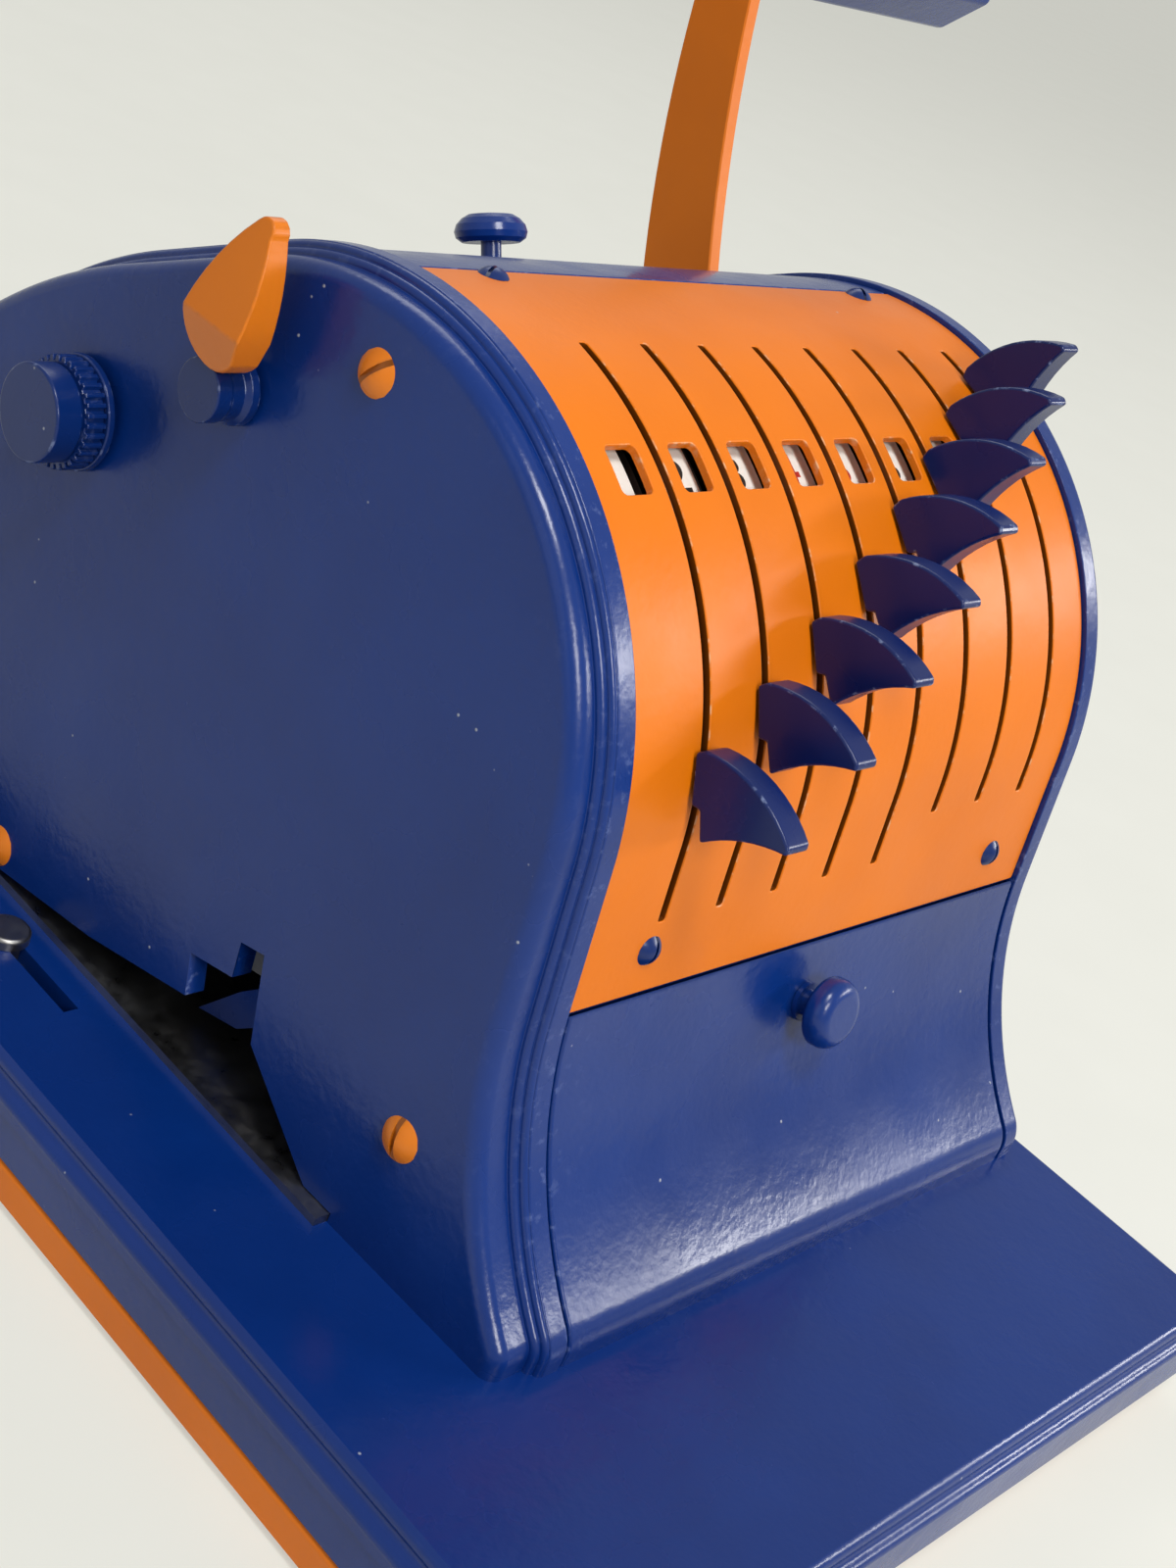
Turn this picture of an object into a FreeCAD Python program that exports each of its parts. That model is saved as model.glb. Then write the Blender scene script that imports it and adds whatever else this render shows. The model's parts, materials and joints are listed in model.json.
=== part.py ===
import FreeCAD, Part
import math
import os

from FreeCAD import Vector

# Amount-printing check writer, in millimetres and degrees.
# X points to the operator's right from the middle of the body, Y to the rear and Z up.
# Heights are measured from the shaft of the number sectors; every piece is lifted onto the
# desk plane when it is saved. Angles on the drum are measured from the front upwards.

# ---- base, body and skin -------------------------------------------------------------------
DRUM_R = 67.7              # outside radius of the panel over the sectors
FRONT_LEAN = 7.0           # lean of the flat below the drum, and the angle where it starts
SKIRT_R = 74.0             # hollow curve of the lower front
SKIRT_END = 46.4           # its slope where the toe starts
TOE_R = 6.0
FOOT_H = 2.62              # upright foot between the toe and the base
BACK_ANGLE = 118.0         # where the drum runs out into the rear slope
BACK_FLAT = 31.5
BACK_FOOT_H = 8.33         # upright foot of the rounded back
BASE_DROP = 0.8            # top of the base below the bottom of the drum
CASTING_H = 14.7
BOARD_H = 7.0
PAD_H = 1.8
SIDE_ROOM = 6.9            # from the outer pitch lines to the edges of the panel and covers
SKIN = 1.4                 # sheet thickness
PANEL_EDGE = 98.0          # rear edge of the panel
SEAM_Z = -17.0             # seam between the panel and the lower cover
COVER_PROUD = 0.8          # the lower cover stands this far in front of the panel
COVER_T = 1.8
COVER_SIDE = 0.4           # the lower cover is this much narrower at each side
COVER_ROUND = 0.6
SEAM_GAP = 0.3

# ---- cast side frames ----------------------------------------------------------------------
RIM_PROUD = 0.9            # rim above the panel
RIM_W = 4.0
RIM_EDGE = 0.35
STEP = 0.15                # small step between two rounds of the moulding
ROUND_A = 0.95
ROUND_B = 1.15
SHOULDER = 2.9
LEFT_DEPTH = 13.95         # from the panel's edge to the left outer face, level with the shaft
LEFT_FLARE_Y = 0.0347      # how much that face moves outward per mm to the rear
LEFT_FLARE_Z = -0.0446     # and per mm of height
RIGHT_DEPTH = 9.75
WALL = 4.0                 # wall of the cast frames behind the moulding
CAVITY_INSET = 8.5
PLATE_T = 3.0
PLATE_GAP = 0.45           # between the edge of the panel and the outer face of an inner plate
FIT = 0.05                 # radial clearance of a shaft in its bore
GAP = 0.3                  # clearance between pieces that only pass each other

# ---- base edges ----------------------------------------------------------------------------
BASE_SIDE = 27.0           # flat top of the base to the left of the left face
BASE_FRONT = -141.5
BASE_BACK = 126.0
EDGE_OUT = 4.0             # how far the moulded edge stands out
BASE_SLAB = 5.0
BASE_WALL = 5.0
BOARD_SETBACK = 5.0        # the bottom board stands back at the front
PAD_INSET = 3.0
BASE_SCREW_INSET = 14.0
BASE_SCREW_R = 2.0
BASE_BOSS_R = 5.0
BASE_SCREW_GRIP = 6.0      # thread in the casting
# moulded edge from the top downwards as (outward, down), drawn as three rounds
MOULDING = ((0, 0), (1.7, 0.6), (2.0, 2.2), (2.3, 3.1), (3.0, 3.6), (3.8, 4.2), (EDGE_OUT, 5.2))
BEAD_DOWN = 7.0            # lower end of the bead
BEAD_EDGE = 0.3
BEAD_PROUD = 0.4           # the side below the bead stands back
BOARD_CORNER = 2.0
BOARD_ROUND = 1.6

# ---- digit levers and sectors --------------------------------------------------------------
COUNT = 8
PITCH = 14.2875            # nine sixteenths of an inch
SLOT_SHIFT = 2.956         # of all slots to the right of the middle
LOW_SLOTS = 5              # the first slots run lower than the others
SLOT_W = 1.7
SLOT_TOP = 78.4
SLOT_LOW = -3.5
SLOT_HIGH = 3.1
FIRST_ANGLE = 17.7         # first lever at rest
DIGIT_STEP = 7.27          # one figure
FIGURES_DOWN = 2           # figures below the first lever's place at rest
FIGURES_UP = 8
TAB_T = 1.2                # sheet of the sectors
TAB_HALF = 2.0             # half the width of the tab that passes through the slot
FIN_T = 5.5
FIN_EDGE = 0.5
FIN_CORNER = 0.55
FIN_LIFT = 0.35            # foot of a fin above the panel
FIN_RELIEF = 0.45          # its lower end stands off further, to pass the flat below the drum
FIN_POCKET = 5.9           # depth of the tab's end above the panel
# side view of a fin as (above the panel, height): heel, crown, tip and belly
FIN_HEEL = (2.2, 4.6)
FIN_CROWN = (11.7, 1.9)
FIN_TIP_TOP = (19.5, -5.4)
FIN_TIP_LOW = (19.2, -6.6)
FIN_BELLY = (10.9, -6.95)
FIN_CHIN = (3.3, -9.5)
FIN_STEP = (2.5, -4.6)
TYPE_DROP = 8.2            # type and number strips below the panel's surface
STRIP_DROP = 3.7
TYPE_DEPTH = 3.0
TYPE_W = 8.0
TYPE_FROM = -168.0
TYPE_TO = -87.0
WEB_MARGIN = 3.0
STRIP_T = 0.8
STRIP_FROM = -22.0
STRIP_TO = 62.0
STRIP_LEFT = 11.3          # from a slot to the far edge of its number strip
STRIP_RIGHT = (3.7, 2.6, 1.1, 0.95, 0.95, 0.95, 0.95, 0.95)  # and to the near edge
WINDOW_SIDE = 7.3          # from a slot to the middle of its window
DRUM_BAND = 3.0            # how far the number band reaches down below its outer face
WINDOW_ANGLE = 57.5
WINDOW_W = 6.9
WINDOW_H = 8.2
WINDOW_CORNER = 1.0
SHAFT_R = 5.0
SHAFT_END_R = 4.0
SHAFT_COLLAR_R = 7.0
HUB_R = 8.0
HUB_SIDE_GAP = 0.09
DETENT_R = 15.0
DETENT_T = 3.0
DETENT_SET = 2.0           # from the end of the hub to the notched disc
NOTCH_R = 2.0
NOTCH_DEPTH = 1.0
DETENT_ANGLE = 166.0       # where the detent comb points at the shaft
DETENT_BAR_R = 37.0
DETENT_BAR_W = 8.0
DETENT_BAR_T = 6.0
COMB_T = 0.4
COMB_FINGER = 3.0          # width of a finger
COMB_REACH = 0.6           # from the crest of the notches to the tip of a finger

# ---- bars, rods and fasteners ---------------------------------------------------------------
ROD_R = 4.0
ROD_END_R = 3.4
FRONT_ROD = (-60.5, -45.9)
BAR_T = 2.6
BAR_W = 12.0
SEAT = 0.1                 # gap between a curved skin and what carries it
PANEL_SCREW_X = (-47.85, 51.15)
PANEL_SCREW_LOW = -17.6    # along the front flat, from the drum
PANEL_SCREW_TOP = 95.9
PANEL_HEAD_R = 2.6
PANEL_HEAD_H = 1.5
PANEL_SHANK_R = 1.4
RAIL_FROM = 92.0
RAIL_TO = 104.0
RAIL_T = 1.6
LEFT_SCREWS = ((-2.3, 55.0), FRONT_ROD, (43.0, -61.9))
RIGHT_SCREWS = ((72.0, 14.0), FRONT_ROD, (43.0, -61.9))  # clear of the sweep of the handle
SIDE_HEAD_R = 3.8
SIDE_HEAD_H = 1.9
SIDE_SHANK_R = 2.0
SIDE_BOSS_R = 5.5
SLOT_DEPTH = 0.7

# ---- throat ----------------------------------------------------------------------------------
BED_T = 1.6
BED_SIDE = 4.0             # bed plate beyond the left face
BED_RIGHT = 58.0
BED_FRONT = -54.0
BED_BACK = 58.0
BED_RELIEF = 0.2
POINTER_SET = 6.95         # beyond the panel's edge
POINTER_T = 2.0
GAUGE_SET = 11.5           # beyond the left face
GAUGE_SLOT = 3.0
GAUGE_FROM = 5.0
GAUGE_TO = 60.0
GAUGE_Y = 26.0
GAUGE_HEAD_R = 4.2
GAUGE_HEAD_H = 2.2
GAUGE_STEM_L = 6.0
GAUGE_CLIP_T = 1.2
GAUGE_ROUND = 0.8
# side view of the throat as (y, z), from its rear slope round to its front lip
THROAT_BACK = ((14.8, -61.8), (-10.0, -55.9), (-7.9, -48.5), (-18.0, -46.1), (-17.2, -39.5))
THROAT_FRONT = ((-22.6, -38.2), (-26.7, -53.4))
THROAT_BED = (-47.2, 48.0)  # where it meets the bed plate, front and rear
POINTER_SIDE = ((-5.3, -64.6), (-13.3, -55.0), (-24.0, -45.0), (-30.0, -49.0), (-15.2, -61.6))
POINTER_POST = (-26.0, -47.6)
POINTER_POST_R = 2.5

# ---- ribbon ----------------------------------------------------------------------------------
RIBBON_DROP = 0.8          # top of the ribbon below the type
RIBBON_T = 0.3
RIBBON_HALF = 53.0
SPOOL_MIDDLE = -3.0        # middle of the ribbon across the machine
PACK_R = 6.0
FLANGE_R = 9.0
FLANGE_T = 1.2
SPOOL_SHAFT_R = 2.5
FRONT_SPOOL_Y = -72.0
REAR_SPOOL = (54.8, 18.6)
KNOB_FLANGE_R = 9.8
KNOB_FLANGE_T = 1.4
KNURL_R = 9.5
KNURL_T = 3.7
KNURL_COUNT = 40
KNURL_DEPTH = 0.5
BARREL_R = 8.25
BARREL_T = 5.2
BARREL_EDGE = 0.5

# ---- finger lever ----------------------------------------------------------------------------
FINGER_HUB = (22.6, 39.4)
FINGER_HUB_R = 5.1
FINGER_HUB_L = 7.9
FINGER_SHAFT_R = 3.5
FINGER_CLEAR = 3.3         # from the left face to the inner face of the teardrop
FINGER_T = 6.7
FINGER_LOW = (21.7, 50.5)
FINGER_LOW_R = 7.0
FINGER_TIP = (19.4, 66.8)
FINGER_TIP_R = 2.3
FINGER_CAM_R = 7.0
FINGER_CAM_T = 1.4
FINGER_NECK_T = 2.5
# outer side of the teardrop cut back as (inward from its face, down from the bend)
FINGER_BEVEL = ((3.6, -18.0), (0, 0), (2.8, 8.0), (3.4, 12.0))
FINGER_BEND = 51.1         # height of that bend

# ---- thumb knobs of the covers ---------------------------------------------------------------
DOME_SLOPE = 16.2          # slope of the lower cover at its knob
DOME_R = 6.4
DOME_T = 4.6
DOME_STEM_R = 2.4
DOME_LOW = 4.0             # underside of its head above the cover
DOME_COLLAR = 1.2
DOME_COLLAR_T = 0.9
DOME_UNDER = 1.1           # rounds of the head
DOME_TOP = 2.6
TOP_KNOB_ALONG = 19.2      # along the rear slope, from the drum
TOP_KNOB_X = -2.3
TOP_KNOB_R = 6.8
TOP_KNOB_T = 5.4
TOP_KNOB_STEM_R = 1.9
TOP_KNOB_REACH = 4.6
# side view of its cap as (inward from the rim, up from the underside)
TOP_KNOB_CAP = ((1.4, 0), (0.3, 0.8), (0, 1.9), (0.4, 3.2), (1.4, 4.3), (2.6, 5.0))

# ---- handle ----------------------------------------------------------------------------------
HANDLE = (34.0, -18.0)     # handle shaft
HANDLE_SHAFT_R = 5.0
ARM_GAP = 0.45
ARM_T = 3.5
ARM_HALF = (10.0, 9.2, 6.4)  # half its width at the shaft, halfway up and at the grip
ARM_R = 280.0              # curve of the arm's middle line
ARM_HUB_R = 15.0
ARM_BOSS_R = 11.0
ARM_BOSS_T = 2.2
ARM_BOSS_EDGE = 0.8
ARM_EDGE = 0.3
SHAFT_PROUD = 0.6          # end of the handle shaft beyond the boss
GRIP = (84.3, 119.3)
GRIP_FLATS = 32.5
GRIP_SIDES = 8
GRIP_L = 70.6
GRIP_EDGE = 1.2
BUSH_WALL = 2.0
CRANK_R = 9.0
CRANK_T = 2.4
PIN_THROW = 5.14           # crank pin's distance from the handle shaft
PIN_ANGLE = -35.0          # its direction at rest, from the rear upwards
PIN_R = 2.0
LINK_T = 3.0
LINK_W = 6.0
LINK_EYE_R = 4.6
LINK_FOOT_R = 3.9
LINK_ROOM = 5.2            # to each side of the crank pin in the base
SPRING_COIL_R = 7.4
SPRING_WIRE_R = 0.6
SPRING_TURNS = 3.0

# ---- platen ----------------------------------------------------------------------------------
PLATEN_HALF = 57.6
PLATEN_W = 8.0
PLATEN_BAR_H = 5.5
PLATEN_DROP = 0.1          # top of the platen below the top of the bed plate
PLATEN_LEG_X = 45.0
PLATEN_LEG_W = 8.0
STRAP_T = 2.5
STRAP_W = 10.0
STRAP_REACH = 5.95         # beyond the panel's edge
GUIDE_SET = 1.95
GUIDE_R = 3.0
EAR_T = 2.0
EAR_FRONT = 3.8            # from the open pivot to the edges of the ear
EAR_BACK = 4.8
EAR_TOP = 2.6
OPEN_PIN_Z = -77.3
OPEN_PIN_R = 1.5
OPEN_PIN_SIDE = 1.3        # room for the open pivot along Y
OPEN_PIN_LIFT = 0.35       # and along Z

# ---- sizes that follow -----------------------------------------------------------------------
BASE_TOP = -DRUM_R - BASE_DROP
HOLLOW = math.sin(math.radians(SKIRT_END)) - math.sin(math.radians(FRONT_LEAN))
FLAT_TOP = DRUM_R * math.sin(math.radians(FRONT_LEAN))
FLAT_DROP = FLAT_TOP - SKIRT_R * HOLLOW - TOE_R * math.sin(math.radians(SKIRT_END)) - BASE_TOP - FOOT_H
FRONT_FLAT = FLAT_DROP / math.cos(math.radians(FRONT_LEAN))
BACK_END = DRUM_R * math.sin(math.radians(BACK_ANGLE)) + BACK_FLAT * math.cos(math.radians(BACK_ANGLE))
BACK_R = (BACK_END - BASE_TOP - BACK_FOOT_H) / math.sin(math.radians(BACK_ANGLE))
HALF_WIDTH = COUNT * PITCH / 2 + SIDE_ROOM
LEFT_FACE = HALF_WIDTH + LEFT_DEPTH
RIGHT_FACE = HALF_WIDTH + RIGHT_DEPTH
BASE_LEFT = -LEFT_FACE - BASE_SIDE
BASE_RIGHT = RIGHT_FACE
FIRST_X = SLOT_SHIFT - (COUNT - 1) * PITCH / 2
BED_LEFT = -LEFT_FACE - BED_SIDE
POINTER_X = -HALF_WIDTH - POINTER_SET
GAUGE_X = -LEFT_FACE - GAUGE_SET
FINGER_INNER = LEFT_FACE + FINGER_CLEAR
FINGER_OUTER = FINGER_INNER + FINGER_T
STRAP_HALF = HALF_WIDTH + STRAP_REACH
GUIDE_X = HALF_WIDTH + GUIDE_SET
WEB_R = DRUM_R - TYPE_DROP
RIBBON_TOP = -WEB_R - RIBBON_DROP
STRIP_R = DRUM_R - STRIP_DROP
FIN_TAB_R = DRUM_R + FIN_POCKET
EDGE_SIDE = EDGE_OUT - BEAD_PROUD
DESK = BASE_TOP - CASTING_H - BOARD_H - PAD_H
CASTING_BOTTOM = BASE_TOP - CASTING_H
BOARD_BOTTOM = CASTING_BOTTOM - BOARD_H
CAVITY_TOP = BASE_TOP - BASE_SLAB
BED_TOP = BASE_TOP + BED_T
FRAME_IN = HALF_WIDTH + SEAM_GAP
PLATE_OUT = HALF_WIDTH - PLATE_GAP
PLATE_IN = PLATE_OUT - PLATE_T
FRONT_SPOOL = (FRONT_SPOOL_Y, RIBBON_TOP + PACK_R + GAP)
REAR_ROD = (REAR_SPOOL[0] + PACK_R + GAP - ROD_R - SEAT, RIBBON_TOP + ROD_R + SEAT)
LINK_OUT = PLATE_IN - GAP - CRANK_T - 2 * SEAT
LINK_IN = LINK_OUT - LINK_T
PIN_YZ = (
    HANDLE[0] + PIN_THROW * math.cos(math.radians(PIN_ANGLE)),
    HANDLE[1] + PIN_THROW * math.sin(math.radians(PIN_ANGLE)),
)
PIN_SWAY = PIN_THROW * (1 - math.cos(math.radians(PIN_ANGLE)))
FAR = 400.0                # larger than the machine, for cutting tools
X_AXIS = Vector(1, 0, 0)
ORIGIN = Vector(0, 0, 0)


# ---- helpers ---------------------------------------------------------------------------------
def out(angle):
    """Unit vector away from the shaft at an angle from the front upwards."""
    a = math.radians(angle)
    return Vector(0, -math.cos(a), math.sin(a))


def along(angle):
    """Unit vector along the drum's skin at that angle, towards larger angles."""
    a = math.radians(angle)
    return Vector(0, math.sin(a), math.cos(a))


def arc(start, middle, end):
    return Part.Arc(start, middle, end).toShape()


def polygon(points, x):
    """Closed wire of (y, z) points in the plane at x."""
    corners = [Vector(x, y, z) for y, z in points]
    return Part.makePolygon(corners + corners[:1])


def prism(wire, x_to):
    """Solid between a wire in a plane of constant x and another x."""
    x_from = wire.BoundBox.XMin
    return Part.Face(wire).extrude(Vector(x_to - x_from, 0, 0))


def slab(points, x_from, x_to):
    return prism(polygon(points, x_from), x_to)


def block(x0, x1, y0, y1, z0, z1):
    return Part.makeBox(x1 - x0, y1 - y0, z1 - z0, Vector(x0, y0, z0))


def cylinder_x(radius, place, x0, x1):
    """Cylinder along X at a (y, z) place."""
    return Part.makeCylinder(radius, x1 - x0, Vector(x0, place[0], place[1]), X_AXIS)


def swing(shape, angle):
    """Turn a shape drawn at the front of the drum up to an angle."""
    turned = shape.copy()
    turned.rotate(ORIGIN, X_AXIS, -angle)
    return turned


def ring_part(r_in, r_out, a0, a1, x0, x1):
    """Part of a ring about the shaft between two angles."""
    mid = (a0 + a1) / 2
    shift = Vector(x0, 0, 0)
    edges = [
        arc(shift + out(a0) * r_out, shift + out(mid) * r_out, shift + out(a1) * r_out),
        Part.makeLine(shift + out(a1) * r_out, shift + out(a1) * r_in),
        arc(shift + out(a1) * r_in, shift + out(mid) * r_in, shift + out(a0) * r_in),
        Part.makeLine(shift + out(a0) * r_in, shift + out(a0) * r_out),
    ]
    return prism(Part.Wire(edges), x1)


def revolved(points, place, axis):
    """Solid of revolution from (radius, height) points about an axis through a place."""
    corners = [Vector(r, 0, h) for r, h in points]
    wire = Part.makePolygon(corners + corners[:1])
    solid = Part.Face(wire).revolve(ORIGIN, Vector(0, 0, 1), 360)
    return set_on(solid, place, axis)


def set_on(shape, place, axis):
    """Move a shape drawn about +Z to a place, with +Z turned to an axis."""
    turn = FreeCAD.Rotation(Vector(0, 0, 1), axis)
    moved = shape.copy()
    moved.Placement = FreeCAD.Placement(place, turn).multiply(shape.Placement)
    return moved


def domed_screw(place, axis, head_r, head_h, shank_r, length):
    """Slotted screw with a domed head; its head sits at place and points along axis."""
    ball = (head_r ** 2 + head_h ** 2) / (2 * head_h)
    head = Part.makeSphere(ball, Vector(0, 0, head_h - ball))
    head = head.common(Part.makeCylinder(head_r, head_h))
    width = head_r / 4
    corner = Vector(-2 * head_r, -width / 2, head_h - SLOT_DEPTH)
    groove = Part.makeBox(4 * head_r, width, SLOT_DEPTH, corner)
    shank = Part.makeCylinder(shank_r, length, Vector(0, 0, -length))
    return set_on(head.cut(groove).fuse(shank), place, axis)


def shank_hole(place, axis, radius, length):
    return Part.makeCylinder(radius, 2 * length, place - axis * length, axis)


def one_solid(shape):
    return shape.removeSplitter()


def save(name, shape):
    lifted = shape.copy()
    lifted.translate(Vector(0, 0, -DESK))
    lifted.exportStep(os.path.join("parts", name + ".step"))


# ---- outline of the body ---------------------------------------------------------------------
def outline(grow, x=0.0, bottom=BASE_TOP):
    """Side outline of the body, at a distance outside the panel's surface."""
    drum = DRUM_R + grow
    skirt = SKIRT_R - grow
    toe = TOE_R + grow
    back = BACK_R + grow
    flat_top = out(FRONT_LEAN) * drum
    flat_end = flat_top - along(FRONT_LEAN) * FRONT_FLAT
    skirt_centre = flat_end + out(FRONT_LEAN) * skirt
    skirt_mid = skirt_centre - out((FRONT_LEAN + SKIRT_END) / 2) * skirt
    toe_top = skirt_centre - out(SKIRT_END) * skirt
    toe_centre = toe_top - out(SKIRT_END) * toe
    toe_mid = toe_centre + out(SKIRT_END / 2) * toe
    toe_end = toe_centre + out(0) * toe
    slope_top = out(BACK_ANGLE) * drum
    slope_end = slope_top + along(BACK_ANGLE) * BACK_FLAT
    back_centre = slope_end - out(BACK_ANGLE) * back
    back_mid = back_centre + out((BACK_ANGLE + 180) / 2) * back
    back_end = back_centre + out(180) * back
    front_foot = Vector(0, toe_end.y, bottom)
    back_foot = Vector(0, back_end.y, bottom)
    top_mid = out((FRONT_LEAN + BACK_ANGLE) / 2) * drum
    edges = [
        Part.makeLine(front_foot, toe_end),
        arc(toe_end, toe_mid, toe_top),
        arc(toe_top, skirt_mid, flat_end),
        Part.makeLine(flat_end, flat_top),
        arc(flat_top, top_mid, slope_top),
        Part.makeLine(slope_top, slope_end),
        arc(slope_end, back_mid, back_end),
        Part.makeLine(back_end, back_foot),
        Part.makeLine(back_foot, front_foot),
    ]
    wire = Part.Wire(edges)
    wire.translate(Vector(x, 0, 0))
    return wire


def body(grow, x0, x1, bottom=BASE_TOP):
    return prism(outline(grow, x0, bottom), x1)


def skin(grow, thickness, x0, x1):
    """Open sheet along the outline."""
    inside = body(grow - thickness, x0 - 1, x1 + 1, BASE_TOP - 1)
    return body(grow, x0, x1).cut(inside)


def on_outline(edge, grow):
    """True for an edge that runs along the side of a skin of that growth, from seam to base."""
    box = edge.BoundBox
    if box.XLength > 0.01 or box.ZLength < 0.5:
        return False
    middle = edge.valueAt((edge.FirstParameter + edge.LastParameter) / 2)
    along_skin = outline(grow, middle.x).distToShape(Part.Vertex(middle))[0]
    return along_skin < 0.01


def skirt_point(slope, grow):
    """Point of the hollow lower front at a slope."""
    flat_end = out(FRONT_LEAN) * DRUM_R - along(FRONT_LEAN) * FRONT_FLAT
    centre = flat_end + out(FRONT_LEAN) * SKIRT_R
    return centre - out(slope) * (SKIRT_R - grow)


def slot_x(index):
    return FIRST_X + index * PITCH


def slot_low(index):
    return SLOT_LOW if index < LOW_SLOTS else SLOT_HIGH


def lever_angle(index):
    return FIRST_ANGLE + index * DIGIT_STEP


# ---- base ------------------------------------------------------------------------------------
def moulded_profile(low, high, place):
    """Section of the casting across one direction, with the same moulding at both ends."""
    def at(outward, down, side):
        edge = high if side > 0 else low
        return place(edge + side * outward, BASE_TOP - down)

    edges = []
    for side in (1, -1):
        pts = [at(outward, down, side) for outward, down in MOULDING]
        edges += [arc(*pts[k:k + 3]) for k in (0, 2, 4)]
        bead_end = at(EDGE_OUT, BEAD_DOWN, side)
        foot_top = at(EDGE_SIDE, BEAD_DOWN + BEAD_EDGE, side)
        edges += [
            Part.makeLine(pts[6], bead_end),
            Part.makeLine(bead_end, foot_top),
            Part.makeLine(foot_top, at(EDGE_SIDE, CASTING_H, side)),
        ]
    edges.append(Part.makeLine(at(0, 0, -1), at(0, 0, 1)))
    edges.append(Part.makeLine(at(EDGE_SIDE, CASTING_H, 1), at(EDGE_SIDE, CASTING_H, -1)))
    return Part.Wire(Part.sortEdges(edges)[0])


def base_screw_places():
    xs = (BASE_LEFT + BASE_SCREW_INSET, BASE_RIGHT - BASE_SCREW_INSET)
    ys = (BASE_FRONT + BASE_SCREW_INSET, BASE_BACK - BASE_SCREW_INSET)
    return [(x, y) for x in xs for y in ys]


def link_slot(z0, z1):
    """Room for the crank link and the platen's ear."""
    y = PIN_YZ[0]
    return block(LINK_IN - GAP, PLATE_IN - SEAT, y - LINK_ROOM, y + LINK_ROOM, z0, z1)


def platen_slot(z0, z1):
    half = PLATEN_HALF + GAP
    side = PLATEN_W / 2 + GAP
    return block(-half, half, -side, side, z0, z1)


def base_casting():
    across = moulded_profile(BASE_LEFT, BASE_RIGHT, lambda x, z: Vector(x, -FAR, z))
    length = moulded_profile(BASE_FRONT, BASE_BACK, lambda y, z: Vector(-FAR, y, z))
    casting = Part.Face(across).extrude(Vector(0, 2 * FAR, 0))
    casting = casting.common(Part.Face(length).extrude(Vector(2 * FAR, 0, 0)))
    cavity = block(BASE_LEFT + BASE_WALL, BASE_RIGHT - BASE_WALL + EDGE_OUT, BASE_FRONT + BASE_WALL,
                   BASE_BACK - BASE_WALL, CASTING_BOTTOM - 1, CAVITY_TOP)
    casting = casting.cut(cavity)
    for x, y in base_screw_places():
        casting = casting.fuse(Part.makeCylinder(BASE_BOSS_R, CAVITY_TOP - CASTING_BOTTOM,
                                                 Vector(x, y, CASTING_BOTTOM)))
        casting = casting.cut(Part.makeCylinder(BASE_SCREW_R, CAVITY_TOP - CASTING_BOTTOM,
                                                Vector(x, y, CASTING_BOTTOM)))
    for x in (-GUIDE_X, GUIDE_X):
        casting = casting.fuse(Part.makeCylinder(GUIDE_R, CAVITY_TOP - CASTING_BOTTOM - GAP,
                                                 Vector(x, 0, CASTING_BOTTOM + GAP)))
    gauge = block(GAUGE_X - GAUGE_SLOT / 2, GAUGE_X + GAUGE_SLOT / 2, GAUGE_FROM, GAUGE_TO,
                  CAVITY_TOP - 1, BASE_TOP + 1)
    casting = casting.cut(gauge)
    casting = casting.cut(platen_slot(CAVITY_TOP - 1, BASE_TOP + 1))
    casting = casting.cut(link_slot(CAVITY_TOP - 1, BASE_TOP + 1))
    return one_solid(casting)


def bottom_board():
    board = block(BASE_LEFT - EDGE_SIDE, BASE_RIGHT + EDGE_SIDE,
                  BASE_FRONT + BOARD_SETBACK - EDGE_OUT, BASE_BACK + EDGE_SIDE,
                  BOARD_BOTTOM, CASTING_BOTTOM)
    uprights = [e for e in board.Edges if abs(e.tangentAt(e.FirstParameter).z) > 0.9]
    board = board.makeFillet(BOARD_CORNER, uprights)
    rims = [e for e in board.Edges if e.BoundBox.ZMin > CASTING_BOTTOM - 0.01]
    board = board.makeFillet(BOARD_ROUND, rims)
    for x, y in base_screw_places():
        board = board.cut(Part.makeCylinder(BASE_SCREW_R + SEAT, BOARD_H, Vector(x, y, BOARD_BOTTOM)))
        board = board.cut(Part.makeCylinder(2 * BASE_SCREW_R, BOARD_H / 2, Vector(x, y, BOARD_BOTTOM)))
    return board


def base_screws():
    screws = []
    for x, y in base_screw_places():
        place = Vector(x, y, BOARD_BOTTOM + BOARD_H / 2)
        screws.append(domed_screw(place, Vector(0, 0, -1), 2 * BASE_SCREW_R - GAP, PANEL_HEAD_H,
                                  BASE_SCREW_R, BOARD_H / 2 + BASE_SCREW_GRIP))
    return Part.makeCompound(screws)


def desk_pad():
    pad = block(BASE_LEFT - EDGE_OUT + PAD_INSET, BASE_RIGHT + EDGE_OUT - PAD_INSET,
                BASE_FRONT + BOARD_SETBACK - EDGE_OUT + PAD_INSET, BASE_BACK + EDGE_OUT - PAD_INSET,
                DESK, BOARD_BOTTOM)
    return pad


def bed_plate():
    bed = block(BED_LEFT, BED_RIGHT, BED_FRONT, BED_BACK, BASE_TOP, BED_TOP)
    bed = bed.cut(platen_slot(BASE_TOP - 1, BED_TOP + 1))
    return bed.cut(link_slot(BASE_TOP - 1, BED_TOP + 1))


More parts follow.
